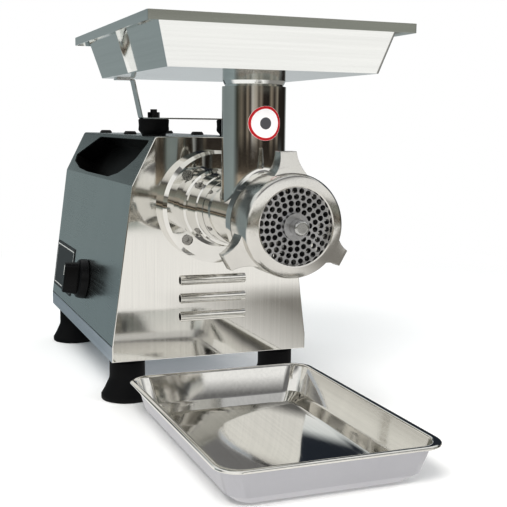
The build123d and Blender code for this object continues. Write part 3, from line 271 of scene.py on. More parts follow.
card_tree.links.new(card_place.outputs["Object"], card_reach.inputs[0])


def card_fade(source, start, end):
    """A share that rises from none to all as a distance on the card goes from start to end."""
    fade = card_tree.nodes.new("ShaderNodeMapRange")
    fade.inputs["From Min"].default_value = start
    fade.inputs["From Max"].default_value = end
    card_tree.links.new(source, fade.inputs["Value"])
    return fade.outputs["Result"]


def card_sum(operation, first, second):
    """One sum on two sockets."""
    step = card_tree.nodes.new("ShaderNodeMath")
    step.operation = operation
    card_tree.links.new(first, step.inputs[0])
    card_tree.links.new(second, step.inputs[1])
    return step.outputs["Value"]


def card_blend(share, first, second):
    """One colour laid over another by a share; the first may be a socket."""
    blend = card_tree.nodes.new("ShaderNodeMix")
    blend.data_type = "RGBA"
    card_tree.links.new(share, blend.inputs[0])
    if isinstance(first, tuple):
        blend.inputs[6].default_value = (*first, 1)
    else:
        card_tree.links.new(first, blend.inputs[6])
    blend.inputs[7].default_value = (*second, 1)
    return blend.outputs[2]


# Reflections see the card glow with painted light instead of its lit colour: pale in front, painted shade
# behind the grinder, and a painted shadow at the near right where the grinder's shadow would fall.
card_seen = card_tree.nodes.new("ShaderNodeLightPath")
card_painted_shade_rear = card_fade(card_parts.outputs["Y"], 0.0, 0.22)
# Painted shadow on the card to the right of the grinder, seen only in reflections.
card_painted_shadow_right = card_sum(
    "MULTIPLY",
    card_fade(card_parts.outputs["Y"], -0.78, -0.60),
    card_fade(card_parts.outputs["X"], 0.10, 0.32),
)
card_painted_glow_tone = card_blend(card_painted_shade_rear, (1.0, 0.99, 0.97), (0.30, 0.345, 0.355))
card_painted_glow_tone = card_blend(card_painted_shadow_right, card_painted_glow_tone, (0.34, 0.33, 0.31))
card_painted_glow_tone = card_blend(card_seen.outputs["Is Camera Ray"], card_painted_glow_tone, (1, 1, 1))
card_glow = card_tree.nodes.new("ShaderNodeEmission")
card_tree.links.new(card_painted_glow_tone, card_glow.inputs["Color"])
card_mix = card_tree.nodes.new("ShaderNodeMixShader")
# The card glows, though it is no lamp: to reflections everywhere, and to every ray beyond 0.55 m, where the
# camera sees the glow plain white.
card_share = card_sum(
    "MAXIMUM",
    card_fade(card_reach.outputs["Value"], 0.55, 1.3),
    card_seen.outputs["Is Glossy Ray"],
)
card_tree.links.new(card_share, card_mix.inputs["Fac"])
card_tree.links.new(card_shader.outputs["BSDF"], card_mix.inputs[1])
card_tree.links.new(card_glow.outputs["Emission"], card_mix.inputs[2])
card_end = card_tree.nodes["Material Output"]
card_tree.links.new(card_mix.outputs["Shader"], card_end.inputs["Surface"])
sweep_data.materials.append(card)


# ---------------------------------------------------------------- bottom pan
# A shallow tray folded from stainless sheet that everything inside is bolted to. Its upstanding rim
# shows as a lighter band along the foot of the sides, with the grain of the rolled sheet along it.
def new_finish(name):
    """A fresh node material, its tree and its shader."""
    finish = bpy.data.materials.new(name)
    finish.use_nodes = True
    return finish, finish.node_tree, finish.node_tree.nodes["Principled BSDF"]


def grain(tree, stretch, detail=3.0):
    """Noise over the piece, with so many waves a metre along X, Y and Z."""
    place = tree.nodes.new("ShaderNodeTexCoord")
    mapping = tree.nodes.new("ShaderNodeMapping")
    mapping.inputs["Scale"].default_value = stretch
    noise = tree.nodes.new("ShaderNodeTexNoise")
    noise.inputs["Scale"].default_value = 1
    noise.inputs["Detail"].default_value = detail
    tree.links.new(place.outputs["Object"], mapping.inputs["Vector"])
    tree.links.new(mapping.outputs["Vector"], noise.inputs["Vector"])
    return noise.outputs["Fac"]


def between(tree, factor, low, high):
    """A number that runs from low to high as the noise runs over its middle range."""
    spread = tree.nodes.new("ShaderNodeMapRange")
    spread.inputs["From Min"].default_value = 0.3
    spread.inputs["From Max"].default_value = 0.7
    spread.inputs["To Min"].default_value = low
    spread.inputs["To Max"].default_value = high
    tree.links.new(factor, spread.inputs["Value"])
    return spread.outputs["Result"]


def tinted(tree, factor, dark, light):
    """A colour that runs from dark to light as the noise runs over its middle range."""
    share = between(tree, factor, 0, 1)
    mix = tree.nodes.new("ShaderNodeMix")
    mix.data_type = "RGBA"
    mix.inputs[6].default_value = (*dark, 1)
    mix.inputs[7].default_value = (*light, 1)
    tree.links.new(share, mix.inputs[0])
    return mix.outputs[2]


def relief(tree, factor, depth, below=None):
    """Bump of a real depth in metres, laid over an earlier one if there is any."""
    bump = tree.nodes.new("ShaderNodeBump")
    bump.inputs["Distance"].default_value = depth
    tree.links.new(factor, bump.inputs["Height"])
    if below:
        tree.links.new(below, bump.inputs["Normal"])
    return bump.outputs["Normal"]


def darker(colour, share):
    """The same colour, dimmed."""
    return tuple(value * share for value in colour)


def sheet_steel(name, tint, gloss, stretch, scratch=2e-6, wave=0.0):
    """Rolled stainless sheet: fine scratches one way, finger smudges, and a slow wave where polished."""
    finish, tree, shader = new_finish(name)
    scratches = grain(tree, stretch, 2.0)
    smudges = grain(tree, (11, 11, 11), 4.0)
    blend = tree.nodes.new("ShaderNodeMath")
    blend.operation = "MULTIPLY"
    tree.links.new(between(tree, scratches, 0.8, 1.2), blend.inputs[0])
    tree.links.new(between(tree, smudges, gloss * 0.85, gloss * 1.25), blend.inputs[1])
    tree.links.new(blend.outputs["Value"], shader.inputs["Roughness"])
    tree.links.new(tinted(tree, scratches, darker(tint, 0.94), tint), shader.inputs["Base Color"])
    shader.inputs["Metallic"].default_value = 1
    normal = relief(tree, scratches, scratch)
    if wave:
        normal = relief(tree, grain(tree, (7, 7, 7), 1.0), wave, normal)
    tree.links.new(normal, shader.inputs["Normal"])
    return finish


def coat(finish, *names):
    """Gives CAD pieces a finish through their own material slot."""
    for name in names:
        nodes[name].data.materials.clear()
        nodes[name].data.materials.append(finish)


coat(sheet_steel("foot_sheet", (0.84, 0.87, 0.93), 0.38, (260, 5, 600), 1e-6), "base_pan")


# ---------------------------------------------------------------- feet
# Four feet moulded in black rubber and flared at the foot like a bell. Each is held to the bottom pan by
# a bolt up its middle.
def turned(profile, axis_place, axis, steps=64):
    """A closed mesh turned from (radius, distance along the axis) pairs, set on an axis in the frame."""
    work = bmesh.new()
    ring = [work.verts.new((radius, 0, height)) for radius, height in profile]
    edges = [work.edges.new(pair) for pair in zip(ring, ring[1:] + ring[:1]) if pair[0] is not pair[1]]
    bmesh.ops.spin(
        work,
        geom=ring + edges,
        cent=(0, 0, 0),
        axis=(0, 0, 1),
        angle=math.tau,
        steps=steps,
        use_merge=True,
    )
    bmesh.ops.remove_doubles(work, verts=work.verts, dist=1e-6)
    bmesh.ops.recalc_face_normals(work, faces=work.faces)
    turn = Vector(axis).to_track_quat("Z", "Y").to_matrix().to_4x4()
    bmesh.ops.transform(work, matrix=Matrix.Translation(axis_place) @ turn, verts=work.verts)
    return work


def add_to(work, extra):
    """Puts one bmesh into another and frees it."""
    carrier = bpy.data.meshes.new("carrier")
    extra.to_mesh(carrier)
    extra.free()
    work.from_mesh(carrier)
    bpy.data.meshes.remove(carrier)


def finished(name, work, finish, body, sharp=35):
    """Makes the piece's object, smooth but for its sharp edges, and sets it on its body."""
    mesh = bpy.data.meshes.new(name)
    work.to_mesh(mesh)
    work.free()
    piece = bpy.data.objects.new(name, mesh)
    scene.collection.objects.link(piece)
    mesh.materials.append(finish)
    mesh.shade_smooth()
    mesh.set_sharp_from_angle(angle=math.radians(sharp))
    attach(piece, body)
    return piece


def moulded(name, tint, gloss, pebble, depth):
    """Moulded plastic or rubber: an even colour with slow dusting, and a fine pebbled skin."""
    finish, tree, shader = new_finish(name)
    dust = grain(tree, (28, 28, 28), 4.0)
    dusty = tuple(value * 1.5 + 0.001 for value in tint)
    tree.links.new(tinted(tree, dust, tint, dusty), shader.inputs["Base Color"])
    tree.links.new(between(tree, dust, gloss * 0.85, gloss * 1.2), shader.inputs["Roughness"])
    tree.links.new(relief(tree, grain(tree, (pebble,) * 3, 1.0), depth), shader.inputs["Normal"])
    shader.inputs["Specular IOR Level"].default_value = 0.22
    return finish


rubber = moulded("black_rubber", (0.0035, 0.0035, 0.004), 0.58, 900, 3e-5)
base_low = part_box("base_pan")[0]
feet_low, feet_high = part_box("rubber_feet")
foot_base = 0.031
foot_top = 0.021
foot_tall = base_low.z
foot_hole = 0.0043
feet = bmesh.new()
for foot_x in (feet_low.x + foot_base, feet_high.x - foot_base):
    for foot_y in (feet_low.y + foot_base, feet_high.y - foot_base):
        foot_profile = [
            (foot_hole, 0.012),
            (0.0092, 0.012),
            (0.0092, 0.0004),
            (0.0100, 0),
            (foot_base - 0.0015, 0),
            (foot_base - 0.0004, 0.0005),
            (foot_base, 0.0016),
            (foot_base, 0.0055),
            (foot_base - 0.0008, 0.0068),
            (foot_base - 0.0038, 0.0118),
            (foot_top + 0.0022, 0.0205),
            (foot_top + 0.0004, 0.0245),
            (foot_top, 0.028),
            (foot_top, foot_tall - 0.0060),
            (foot_top - 0.0012, foot_tall - 0.0052),
            (foot_top - 0.0012, foot_tall - 0.0042),
            (foot_top, foot_tall - 0.0034),
            (foot_top, foot_tall - 0.0008),
            (foot_top - 0.0008, foot_tall),
            (foot_hole, foot_tall),
        ]
        add_to(feet, turned(foot_profile, (foot_x, foot_y, 0), (0, 0, 1), 48))
foot_piece = finished("moulded_feet", feet, rubber, "machine")
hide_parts("rubber_feet")


# ---------------------------------------------------------------- small fasteners
# Foot bolts, nuts and the clamp are zinc plated, the buffers' studs are blackened, and the socket screws
# of the flange and its collar are stainless, a little darker than the casting round them.
def machined(name, tint, gloss, marks):
    """Turned or ground steel: fine marks in the gloss and a little oil."""
    finish, tree, shader = new_finish(name)
    lines = grain(tree, marks, 2.0)
    cloud = grain(tree, (45, 45, 45), 4.0)
    tree.links.new(tinted(tree, cloud, darker(tint, 0.72), tint), shader.inputs["Base Color"])
    tree.links.new(between(tree, lines, gloss * 0.8, gloss * 1.35), shader.inputs["Roughness"])
    tree.links.new(relief(tree, lines, 3e-6), shader.inputs["Normal"])
    shader.inputs["Metallic"].default_value = 1
    return finish


plated = machined("zinc_plating", (0.60, 0.59, 0.56), 0.30, (300, 300, 300))
coat(plated, "foot_bolts", "foot_nuts", "capacitor_clamp")
# This near-black finish is real oxide on the buffers' studs, and painted shade on the knife further down.
blackened_and_painted_shade = machined("blackened_steel_and_painted_shade", (0.05, 0.05, 0.052), 0.34, (300, 300, 300))
coat(blackened_and_painted_shade, "buffer_studs")
socket_steel = machined("socket_steel", (0.50, 0.49, 0.47), 0.24, (420, 420, 420))
coat(socket_steel, "flange_screws", "collar_screws")


# ---------------------------------------------------------------- motor
# A fan-cooled motor lies in a folded cradle. Its finned frame and end bells are cast aluminium, the
# stator is stacked sheet with varnished copper wound through it, and the fan is moulded plastic. The
# gears and shafts that it drives run in oil in a cast case.
def cast_alloy(name, tint, gloss):
    """Sand-cast aluminium: a dull skin with fine pits."""
    finish, tree, shader = new_finish(name)
    pits = grain(tree, (520, 520, 520), 3.0)
    cloud = grain(tree, (24, 24, 24), 4.0)
    tree.links.new(tinted(tree, cloud, darker(tint, 0.8), tint), shader.inputs["Base Color"])
    tree.links.new(between(tree, pits, gloss * 0.85, gloss * 1.2), shader.inputs["Roughness"])
    tree.links.new(relief(tree, pits, 6e-5), shader.inputs["Normal"])
    shader.inputs["Metallic"].default_value = 1
    return finish


alloy = cast_alloy("cast_alloy", (0.60, 0.61, 0.62), 0.48)
coat(alloy, "motor_frame", "motor_end_bells", "gearbox_cover", "gearbox_housing")
coat(machined("bearing_steel", (0.74, 0.74, 0.73), 0.14, (600, 600, 600)), *(
    "motor_bearings",
    "output_bearings",
    "layshaft_bearings",
))
coat(machined("stacked_sheet", (0.23, 0.23, 0.25), 0.46, (20, 1800, 20)), "stator_core", "rotor_core")
coat(machined("wound_copper", (0.72, 0.30, 0.11), 0.28, (900, 60, 900)), "stator_windings")
oiled = machined("oiled_steel", (0.44, 0.43, 0.40), 0.22, (800, 30, 800))
coat(oiled, "motor_shaft", "motor_pinion", "output_shaft", "output_gear")
coat(oiled, "layshaft", "layshaft_gear", "switch_spindle")
galvanised = machined("galvanised_sheet", (0.52, 0.54, 0.56), 0.38, (38, 38, 38))
coat(galvanised, "fan_cowl", "motor_cradle")
black_moulding = moulded("black_moulding", (0.0035, 0.0035, 0.004), 0.26, 1400, 8e-6)
coat(black_moulding, "cooling_fan", "switch_body")
coat(moulded("capacitor_shell", (0.66, 0.66, 0.63), 0.30, 700, 8e-6), "run_capacitor")
coat(rubber, "shaft_seal")


# ---------------------------------------------------------------- housing
# Front and rear panels are cut from stainless sheet and pressed into louvres, the front one polished to
# a mirror. The cover folded over them is brushed along its length, and greyer, like the rear panel.
mirror_sheet = sheet_steel("mirror_sheet", (0.84, 0.83, 0.80), 0.055, (500, 500, 6), 6e-7, 6e-4)
coat(mirror_sheet, "front_panel")
brushed_sheet = sheet_steel("brushed_sheet", (0.62, 0.67, 0.665), 0.22, (600, 5, 900), 8e-7)
coat(brushed_sheet, "side_cover", "rear_panel")

# Finger cups of black plastic, pushed into the windows of the cover.
coat(moulded("cup_moulding", (0.003, 0.003, 0.003), 0.30, 1100, 8e-6), "left_hand_hold", "right_hand_hold")
coat(moulded("screw_plugs", (0.012, 0.012, 0.012), 0.35, 900, 8e-6), "cover_screws")

# ---------------------------------------------------------------- rating plate
# A thin aluminium plate stuck to the left side. It is printed black but for a border line, and it is
# left blank.
plate_low, plate_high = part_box("rating_plate")
plate_middle = (plate_low + plate_high) / 2
plate_half = (plate_high - plate_low) / 2


def distance_from(tree, middle):
    """How far a point of the piece is from a middle, along X, Y and Z."""
    place = tree.nodes.new("ShaderNodeTexCoord")
    shift = tree.nodes.new("ShaderNodeVectorMath")
    shift.operation = "SUBTRACT"
    shift.inputs[1].default_value = middle
    size = tree.nodes.new("ShaderNodeVectorMath")
    size.operation = "ABSOLUTE"
    parts = tree.nodes.new("ShaderNodeSeparateXYZ")
    tree.links.new(place.outputs["Object"], shift.inputs[0])
    tree.links.new(shift.outputs["Vector"], size.inputs[0])
    tree.links.new(size.outputs["Vector"], parts.inputs["Vector"])
    return parts


def arithmetic(tree, operation, first, second):
    """One sum on sockets or plain numbers."""
    step = tree.nodes.new("ShaderNodeMath")
    step.operation = operation
    for socket, value in zip(step.inputs, (first, second)):
        if isinstance(value, (int, float)):
            socket.default_value = value
        else:
            tree.links.new(value, socket)
    return step.outputs["Value"]


printed, printed_tree, printed_shader = new_finish("printed_plate")
across = distance_from(printed_tree, plate_middle)
border_inset = 0.0045
border_line = 0.0009
edge_y = arithmetic(printed_tree, "SUBTRACT", across.outputs["Y"], plate_half.y - border_inset)
edge_z = arithmetic(printed_tree, "SUBTRACT", across.outputs["Z"], plate_half.z - border_inset)
edge = arithmetic(printed_tree, "MAXIMUM", edge_y, edge_z)
line = arithmetic(printed_tree, "COMPARE", edge, 0.0)
line.node.inputs[2].default_value = border_line
line_mix = printed_tree.nodes.new("ShaderNodeMix")
line_mix.data_type = "RGBA"
line_mix.inputs[7].default_value = (0.62, 0.62, 0.60, 1)
printed_tree.links.new(line, line_mix.inputs[0])
ink = tinted(printed_tree, grain(printed_tree, (60, 60, 60)), (0.008, 0.0085, 0.010), (0.016, 0.017, 0.019))
printed_tree.links.new(ink, line_mix.inputs[6])
printed_tree.links.new(line_mix.outputs[2], printed_shader.inputs["Base Color"])
printed_shader.inputs["Roughness"].default_value = 0.35
coat(printed, "rating_plate")

# ---------------------------------------------------------------- cable gland
# A gland screwed together from black plastic parts. It passes through the rear panel and a locknut
# holds it behind; no lead is fitted.
coat(black_moulding, "cable_gland")

# ---------------------------------------------------------------- rotary switch
# A black knob turned and moulded in one: a shallow drum with a raised bar to grip, and a white line
# printed at one end of the bar.
knob_joint = [joint for joint in frame["joints"] if joint["name"] == "switch_turn"][0]
knob_out = Vector(knob_joint["axis"])
knob_clear = 0.0004
knob_foot = Vector(knob_joint["pos_m"]) + knob_out * knob_clear
knob_radius = 0.026
drum_top = 0.0118
grip_top = 0.0288
knob = turned(
    [
        (0, 0),
        (knob_radius - 0.0010, 0),
        (knob_radius, 0.0010),
        (knob_radius - 0.0006, 0.0078),
        (knob_radius - 0.0014, 0.0102),
        (knob_radius - 0.0032, drum_top - 0.0003),
        (knob_radius - 0.0050, drum_top),
        (0, drum_top),
    ],
    knob_foot,
    knob_out,
)
knob_turn = Matrix.Translation(knob_foot) @ knob_out.to_track_quat("Z", "Y").to_matrix().to_4x4()
grip = bmesh.new()
bmesh.ops.create_cube(grip, size=1)
grip_length = 0.042
grip_width = 0.017
grip_sunk = 0.002
bmesh.ops.scale(grip, vec=(grip_width, grip_length, grip_top - drum_top + grip_sunk), verts=grip.verts)
bmesh.ops.translate(grip, vec=(0, 0, (grip_top + drum_top - grip_sunk) / 2), verts=grip.verts)
grip_crown = [vert for vert in grip.verts if vert.co.z > drum_top]
bmesh.ops.scale(grip, vec=(0.78, 0.93, 1), verts=grip_crown)
upright = [e for e in grip.edges if abs(e.verts[0].co.z - e.verts[1].co.z) > 0.005]
bmesh.ops.bevel(
    grip,
    geom=upright,
    offset=0.0058,
    segments=6,
    profile=0.5,
    affect="EDGES",
    material=-1,
)
crown_rim = [e for e in grip.edges if all(v.co.z > grip_top - 1e-5 for v in e.verts)]
bmesh.ops.bevel(
    grip,
    geom=crown_rim,
    offset=0.0016,
    segments=3,
    profile=0.5,
    affect="EDGES",
    material=-1,
)
bmesh.ops.transform(grip, matrix=knob_turn, verts=grip.verts)
add_to(knob, grip)
knob_piece = finished("knob_moulding", knob, black_moulding, "switch")
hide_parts("switch_knob")

pointer = bmesh.new()
pointer_width = 0.0016
pointer_length = 0.013
pointer_gauge = 0.0004
pointer_out = 0.0095
bmesh.ops.create_cube(pointer, size=1)
bmesh.ops.scale(pointer, vec=(pointer_width, pointer_length, pointer_gauge), verts=pointer.verts)
bmesh.ops.translate(pointer, vec=(0, pointer_out, grip_top + 0.0001), verts=pointer.verts)
bmesh.ops.bevel(
    pointer,
    geom=[e for e in pointer.edges if abs(e.verts[0].co.z - e.verts[1].co.z) > 1e-4],
    offset=0.0006,
    segments=3,
    profile=0.5,
    affect="EDGES",
    material=-1,
)
bmesh.ops.transform(pointer, matrix=knob_turn, verts=pointer.verts)
white_print = moulded("white_print", (0.62, 0.62, 0.60), 0.4, 800, 4e-6)
finished("knob_pointer", pointer, white_print, "switch")


# ---------------------------------------------------------------- outlet flange and head
# The flange and the head are stainless castings, machined and polished bright, but the skin keeps a
# slow ripple from the casting.
def polished_casting(name, tint, gloss, ripple=2.5e-4):
    """Cast stainless buffed bright: a slow ripple, buffing lines and a few dull pits."""
    finish, tree, shader = new_finish(name)
    slow = grain(tree, (26, 26, 26), 2.0)
    buffed = grain(tree, (700, 60, 700), 3.0)
    cloud = grain(tree, (15, 15, 15), 5.0)
    tree.links.new(tinted(tree, cloud, darker(tint, 0.86), tint), shader.inputs["Base Color"])
    tree.links.new(between(tree, buffed, gloss * 0.7, gloss * 1.4), shader.inputs["Roughness"])
    tree.links.new(relief(tree, slow, ripple, relief(tree, buffed, 8e-7)), shader.inputs["Normal"])
    shader.inputs["Metallic"].default_value = 1
    return finish


bright_casting = polished_casting("bright_casting", (0.86, 0.85, 0.82), 0.045, 1.1e-4)
coat(bright_casting, "outlet_flange", "grinder_head")

# ---------------------------------------------------------------- head label
# A round plastic sticker, pressed on the throat. It is printed white, with a plain red ring and a grey
# spot.
label, label_tree, label_shader = new_finish("label_print")
label_low, label_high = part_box("head_label")
label_middle = (label_low + label_high) / 2
apart = distance_from(label_tree, label_middle)
flat_square = arithmetic(
    label_tree,
    "ADD",
    arithmetic(label_tree, "POWER", apart.outputs["X"], 2.0),
    arithmetic(label_tree, "POWER", apart.outputs["Z"], 2.0),
)
label_reach = arithmetic(label_tree, "SQRT", flat_square, 0.0)
label_ramp = label_tree.nodes.new("ShaderNodeValToRGB")
label_ramp.color_ramp.interpolation = "CONSTANT"
label_edge = 0.0173
label_stops = label_ramp.color_ramp.elements
label_stops[0].position = 0
label_stops[0].color = (0.10, 0.10, 0.11, 1)
label_stops[1].position = 0.34
label_stops[1].color = (0.86, 0.84, 0.85, 1)
for level, colour in ((0.84, (0.50, 0.02, 0.03, 1)), (0.985, (0.80, 0.78, 0.78, 1))):
    stop = label_stops.new(level)
    stop.color = colour
label_tree.links.new(arithmetic(label_tree, "DIVIDE", label_reach, label_edge), label_ramp.inputs["Fac"])
label_tree.links.new(label_ramp.outputs["Color"], label_shader.inputs["Base Color"])
label_shader.inputs["Roughness"].default_value = 0.28
coat(label, "head_label")

# ---------------------------------------------------------------- worm, knife and plate
# The cutting set: a cast and ground worm, a four-wing knife coloured near black as painted shade so the
# holes of the plate look dark, and a ground, drilled plate, which a small key holds from turning.
ground = machined("ground_steel", (0.70, 0.70, 0.69), 0.20, (500, 500, 500))
coat(ground, "worm")
coat(machined("plate_face", (0.66, 0.66, 0.67), 0.33, (700, 700, 700)), "perforated_plate", "plate_key")
# Near black on the knife is painted shade seen through the plate's holes, not the steel's own colour.
coat(blackened_and_painted_shade, "knife")

# ---------------------------------------------------------------- ring nut
# One stainless casting: a ring that screws over the mouth of the head, with three lugs to turn it by.
# The lugs run out of the ring in hollow curves and end square; the lip in front is machined.
nut_joint = [joint for joint in frame["joints"] if joint["name"] == "nut_turn"][0]
nut_low, nut_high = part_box("ring_nut")
nut_front = nut_low.y
nut_axis = Vector((0, nut_front, nut_joint["pos_m"][2]))
nut_deep = nut_high.y - nut_front
nut_radius = 0.050
nut_bore = 0.0460
lip_bore = 0.037
lip_rear = 0.0063
nut = turned(
    [
        (nut_bore, nut_deep),
        (nut_radius - 0.0012, nut_deep),
        (nut_radius - 0.0003, nut_deep - 0.0004),
        (nut_radius, nut_deep - 0.0013),
        (nut_radius, 0.0085),
        (nut_radius - 0.0003, 0.0066),
        (nut_radius - 0.0010, 0.0046),
        (nut_radius - 0.0021, 0.0030),
        (nut_radius - 0.0033, 0.0021),
        (lip_bore + 0.0016, 0),
        (lip_bore + 0.0003, 0.0005),
        (lip_bore, 0.0016),
        (lip_bore, lip_rear),
        (nut_bore, lip_rear),
    ],
    nut_axis,
    (0, 1, 0),
    128,
)
lug_reach = 0.070
lug_tip = 0.0085
lug_root = 0.020
lug_deep = 0.021
lug_front = 0.015
lug_draft = 0.36
lug_sunk = 0.006
lug_hollow = 2.2
lug_steps = 8
lug_edge = 0.0022


def hollow_flank(sign):
    """Points of a lug's curved flank, from its broad root to its tip."""
    points = []
    for step in range(lug_steps + 1):
        share = step / lug_steps
        along = nut_radius - lug_sunk + (lug_reach - nut_radius + lug_sunk) * share
        half = lug_tip + (lug_root - lug_tip) * (1 - share) ** lug_hollow
        points.append((along, sign * half))
    return points


for lug_turn in (90, 210, 330):
    lug = bmesh.new()
    outline = hollow_flank(-1) + hollow_flank(1)[::-1]
    face = lug.faces.new([lug.verts.new((along, lug_front, half)) for along, half in outline])
    grown = bmesh.ops.extrude_face_region(lug, geom=[face])
    grown_verts = [item for item in grown["geom"] if isinstance(item, bmesh.types.BMVert)]
    bmesh.ops.translate(lug, vec=(0, lug_deep, 0), verts=grown_verts)
    bmesh.ops.recalc_face_normals(lug, faces=lug.faces)
    outer = [e for e in lug.edges if all(v.co.x > nut_radius - 0.001 for v in e.verts)]
    crisp = [e for e in outer if e.calc_face_angle(0) > math.radians(40)]
    bmesh.ops.bevel(
        lug,
        geom=crisp,
        offset=lug_edge,
        segments=4,
        profile=0.5,
        affect="EDGES",
        clamp_overlap=True,
        material=-1,
    )
    for vert in lug.verts:
        if vert.co.y < lug_front + lug_deep / 2:
            vert.co.y += lug_draft * max(vert.co.x - nut_radius, 0)
    lug_swing = Matrix.Rotation(math.radians(-lug_turn), 3, "Y")
    bmesh.ops.rotate(lug, cent=(0, 0, 0), matrix=lug_swing, verts=lug.verts)
    bmesh.ops.translate(lug, vec=nut_axis, verts=lug.verts)
    add_to(nut, lug)
nut_casting = polished_casting("nut_casting", (0.80, 0.785, 0.75), 0.17, 6e-5)
nut_piece = finished("cast_ring_nut", nut, nut_casting, "nut")
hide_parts("ring_nut")

# ---------------------------------------------------------------- pan bracket on its buffers
# Two rubber buffers stand on the body, and a strap folded like a hat crosses them and carries the
# pan. Each buffer is a rubber drum with a chamfered foot, bonded to a steel washer.
buffer_low, buffer_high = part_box("rubber_buffers")
buffer_radius = 0.0185
buffer_bore = 0.0042
buffer_y = (buffer_low.y + buffer_high.y) / 2
buffer_tall = buffer_high.z - buffer_low.z
buffers = bmesh.new()
for buffer_x in (buffer_low.x + buffer_radius, buffer_high.x - buffer_radius):
    buffer_profile = [
        (buffer_bore, 0),
        (buffer_radius - 0.0045, 0),
        (buffer_radius - 0.0040, 0.0004),
        (buffer_radius - 0.0040, 0.0018),
        (buffer_radius - 0.0030, 0.0030),
        (buffer_radius - 0.0006, 0.0056),
        (buffer_radius, 0.0072),
        (buffer_radius - 0.0005, 0.0120),
        (buffer_radius, buffer_tall - 0.0016),
        (buffer_radius - 0.0005, buffer_tall - 0.0004),
        (buffer_radius - 0.0014, buffer_tall),
        (buffer_bore, buffer_tall),
    ]
    add_to(buffers, turned(buffer_profile, (buffer_x, buffer_y, buffer_low.z), (0, 0, 1), 48))
buffer_piece = finished("moulded_buffers", buffers, rubber, "machine")
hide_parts("rubber_buffers")
strap_steel = sheet_steel("strap_steel", (0.80, 0.81, 0.81), 0.14, (12, 300, 300), 1e-6)
coat(strap_steel, "pan_bracket")

# ---------------------------------------------------------------- feed pan
# Folded from thin stainless sheet with mitred corners and a turned-down rim, then spot welded along
# a lap down its left wall. Outside it is bright, and inside it is brushed along its length.
pan_sheet = sheet_steel("feed_pan_sheet", (0.92, 0.93, 0.92), 0.10, (5, 5, 260), 3e-7, 1.2e-4)
coat(pan_sheet, "feed_pan")
pan_low, pan_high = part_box("feed_pan")
pan_rim_depth = 0.012
pan_taper = 0.014
pan_floor_height = 0.377
lap_place = pan_low.y + 0.155
lap_width = 0.012
lap_gauge = 0.0008
wall_bottom = Vector((pan_low.x + pan_rim_depth + pan_taper, lap_place, pan_floor_height + 0.001))
wall_top = Vector((pan_low.x + pan_rim_depth, lap_place, pan_high.z - 0.002))
wall_run = wall_top - wall_bottom
lap = bmesh.new()
bmesh.ops.create_cube(lap, size=1)
bmesh.ops.scale(lap, vec=(lap_gauge, lap_width, wall_run.length), verts=lap.verts)
bmesh.ops.bevel(
    lap,
    geom=lap.edges[:],
    offset=0.0003,
    segments=2,
    profile=0.5,
    affect="EDGES",
    material=-1,
)
lap_lean = wall_run.to_track_quat("Z", "Y").to_matrix().to_4x4()
lap_out = wall_run.cross(Vector((0, 1, 0))).normalized() * lap_gauge * 0.5
lap_middle = (wall_bottom + wall_top) / 2 - lap_out
bmesh.ops.transform(lap, matrix=Matrix.Translation(lap_middle) @ lap_lean, verts=lap.verts)
finished("pan_lap_seam", lap, pan_sheet, "pan")

# ---------------------------------------------------------------- catching tray
# Drawn in one from stainless sheet, with wide corners, a well rounded floor and a rim curled over its
# edge. The inside is polished bright and the outside left half matt from the press.
tray_low, tray_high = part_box("meat_tray")
tray_middle = (tray_low + tray_high) / 2
tray_half = (tray_high - tray_low) / 2
tray_sheet = 0.0009
tray_corner = 0.024
tray_slope = 0.30
floor_round = 0.013
floor_spread = 1.2
floor_steps = 8
corner_steps = 12


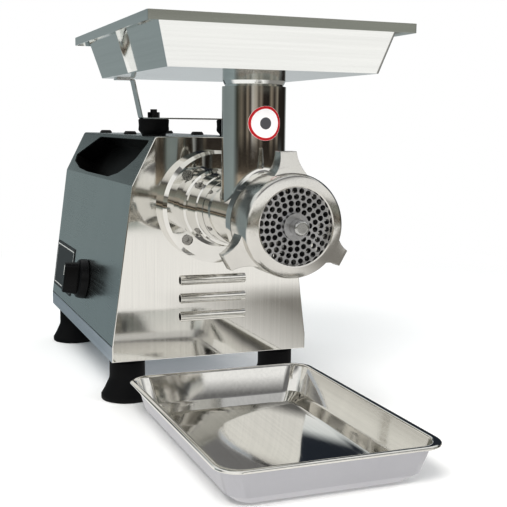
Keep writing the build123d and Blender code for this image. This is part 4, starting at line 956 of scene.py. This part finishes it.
def drawn_loop(work, inset, height):
    """A rounded rectangle of vertices, so far in from the tray's outer edge."""
    corner = max(tray_corner - inset * 0.35, 0.010)
    loop = []
    for quarter, (side_x, side_y) in enumerate(((1, 1), (-1, 1), (-1, -1), (1, -1))):
        centre_x = side_x * (tray_half.x - inset - corner)
        centre_y = side_y * (tray_half.y - inset - corner)
        for step in range(corner_steps + 1):
            angle = math.radians(90 * quarter + 90 * step / corner_steps)
            point = (centre_x + corner * math.cos(angle), centre_y + corner * math.sin(angle), height)
            loop.append(work.verts.new(Vector(point) + Vector((tray_middle.x, tray_middle.y, 0))))
    return [work.edges.new(pair) for pair in zip(loop, loop[1:] + loop[:1])]


rim_top = tray_high.z
rim_inner = 0.0068
wall_foot = floor_round * (1 - math.sin(math.atan(tray_slope)))
tray_profile = [
    (0.0012, rim_top - 0.0036),
    (0.0003, rim_top - 0.0030),
    (0, rim_top - 0.0020),
    (0.0003, rim_top - 0.0009),
    (0.0012, rim_top - 0.0002),
    (0.0024, rim_top),
    (rim_inner - 0.0012, rim_top - 0.0002),
    (rim_inner - 0.0002, rim_top - 0.0008),
    (rim_inner + 0.0007, rim_top - 0.0020),
]
floor_start = rim_inner + 0.0007 + tray_slope * (rim_top - 0.0020 - wall_foot - tray_sheet)
lean = math.atan(tray_slope)
for step in range(floor_steps + 1):
    swing = lean + (math.pi / 2 - lean) * step / floor_steps
    reach = floor_round * (math.sin(swing) - math.sin(lean)) * floor_spread
    tray_profile.append((floor_start + reach, tray_sheet + floor_round * (1 - math.sin(swing))))
tray = bmesh.new()
loops = [drawn_loop(tray, inset, height) for inset, height in tray_profile]
for outer_loop, inner_loop in zip(loops, loops[1:]):
    bmesh.ops.bridge_loops(tray, edges=outer_loop + inner_loop)
bmesh.ops.contextual_create(tray, geom=loops[-1])
bmesh.ops.recalc_face_normals(tray, faces=tray.faces)
if sum(face.normal.z * face.calc_area() for face in tray.faces) < 0:
    bmesh.ops.reverse_faces(tray, faces=tray.faces)
tray_inside = sheet_steel("tray_inside", (0.84, 0.83, 0.80), 0.065, (300, 6, 300), 8e-7, 7e-4)
tray_outside = sheet_steel("tray_outside", (0.62, 0.62, 0.65), 0.42, (420, 420, 5), 4e-6)
tray_piece = finished("drawn_tray", tray, tray_inside, "tray")
tray_piece.data.materials.append(tray_outside)
tray_wall = tray_piece.modifiers.new("sheet", "SOLIDIFY")
tray_wall.thickness = tray_sheet
tray_wall.offset = -1
tray_wall.material_offset = 1
tray_wall.material_offset_rim = 1
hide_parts("meat_tray")
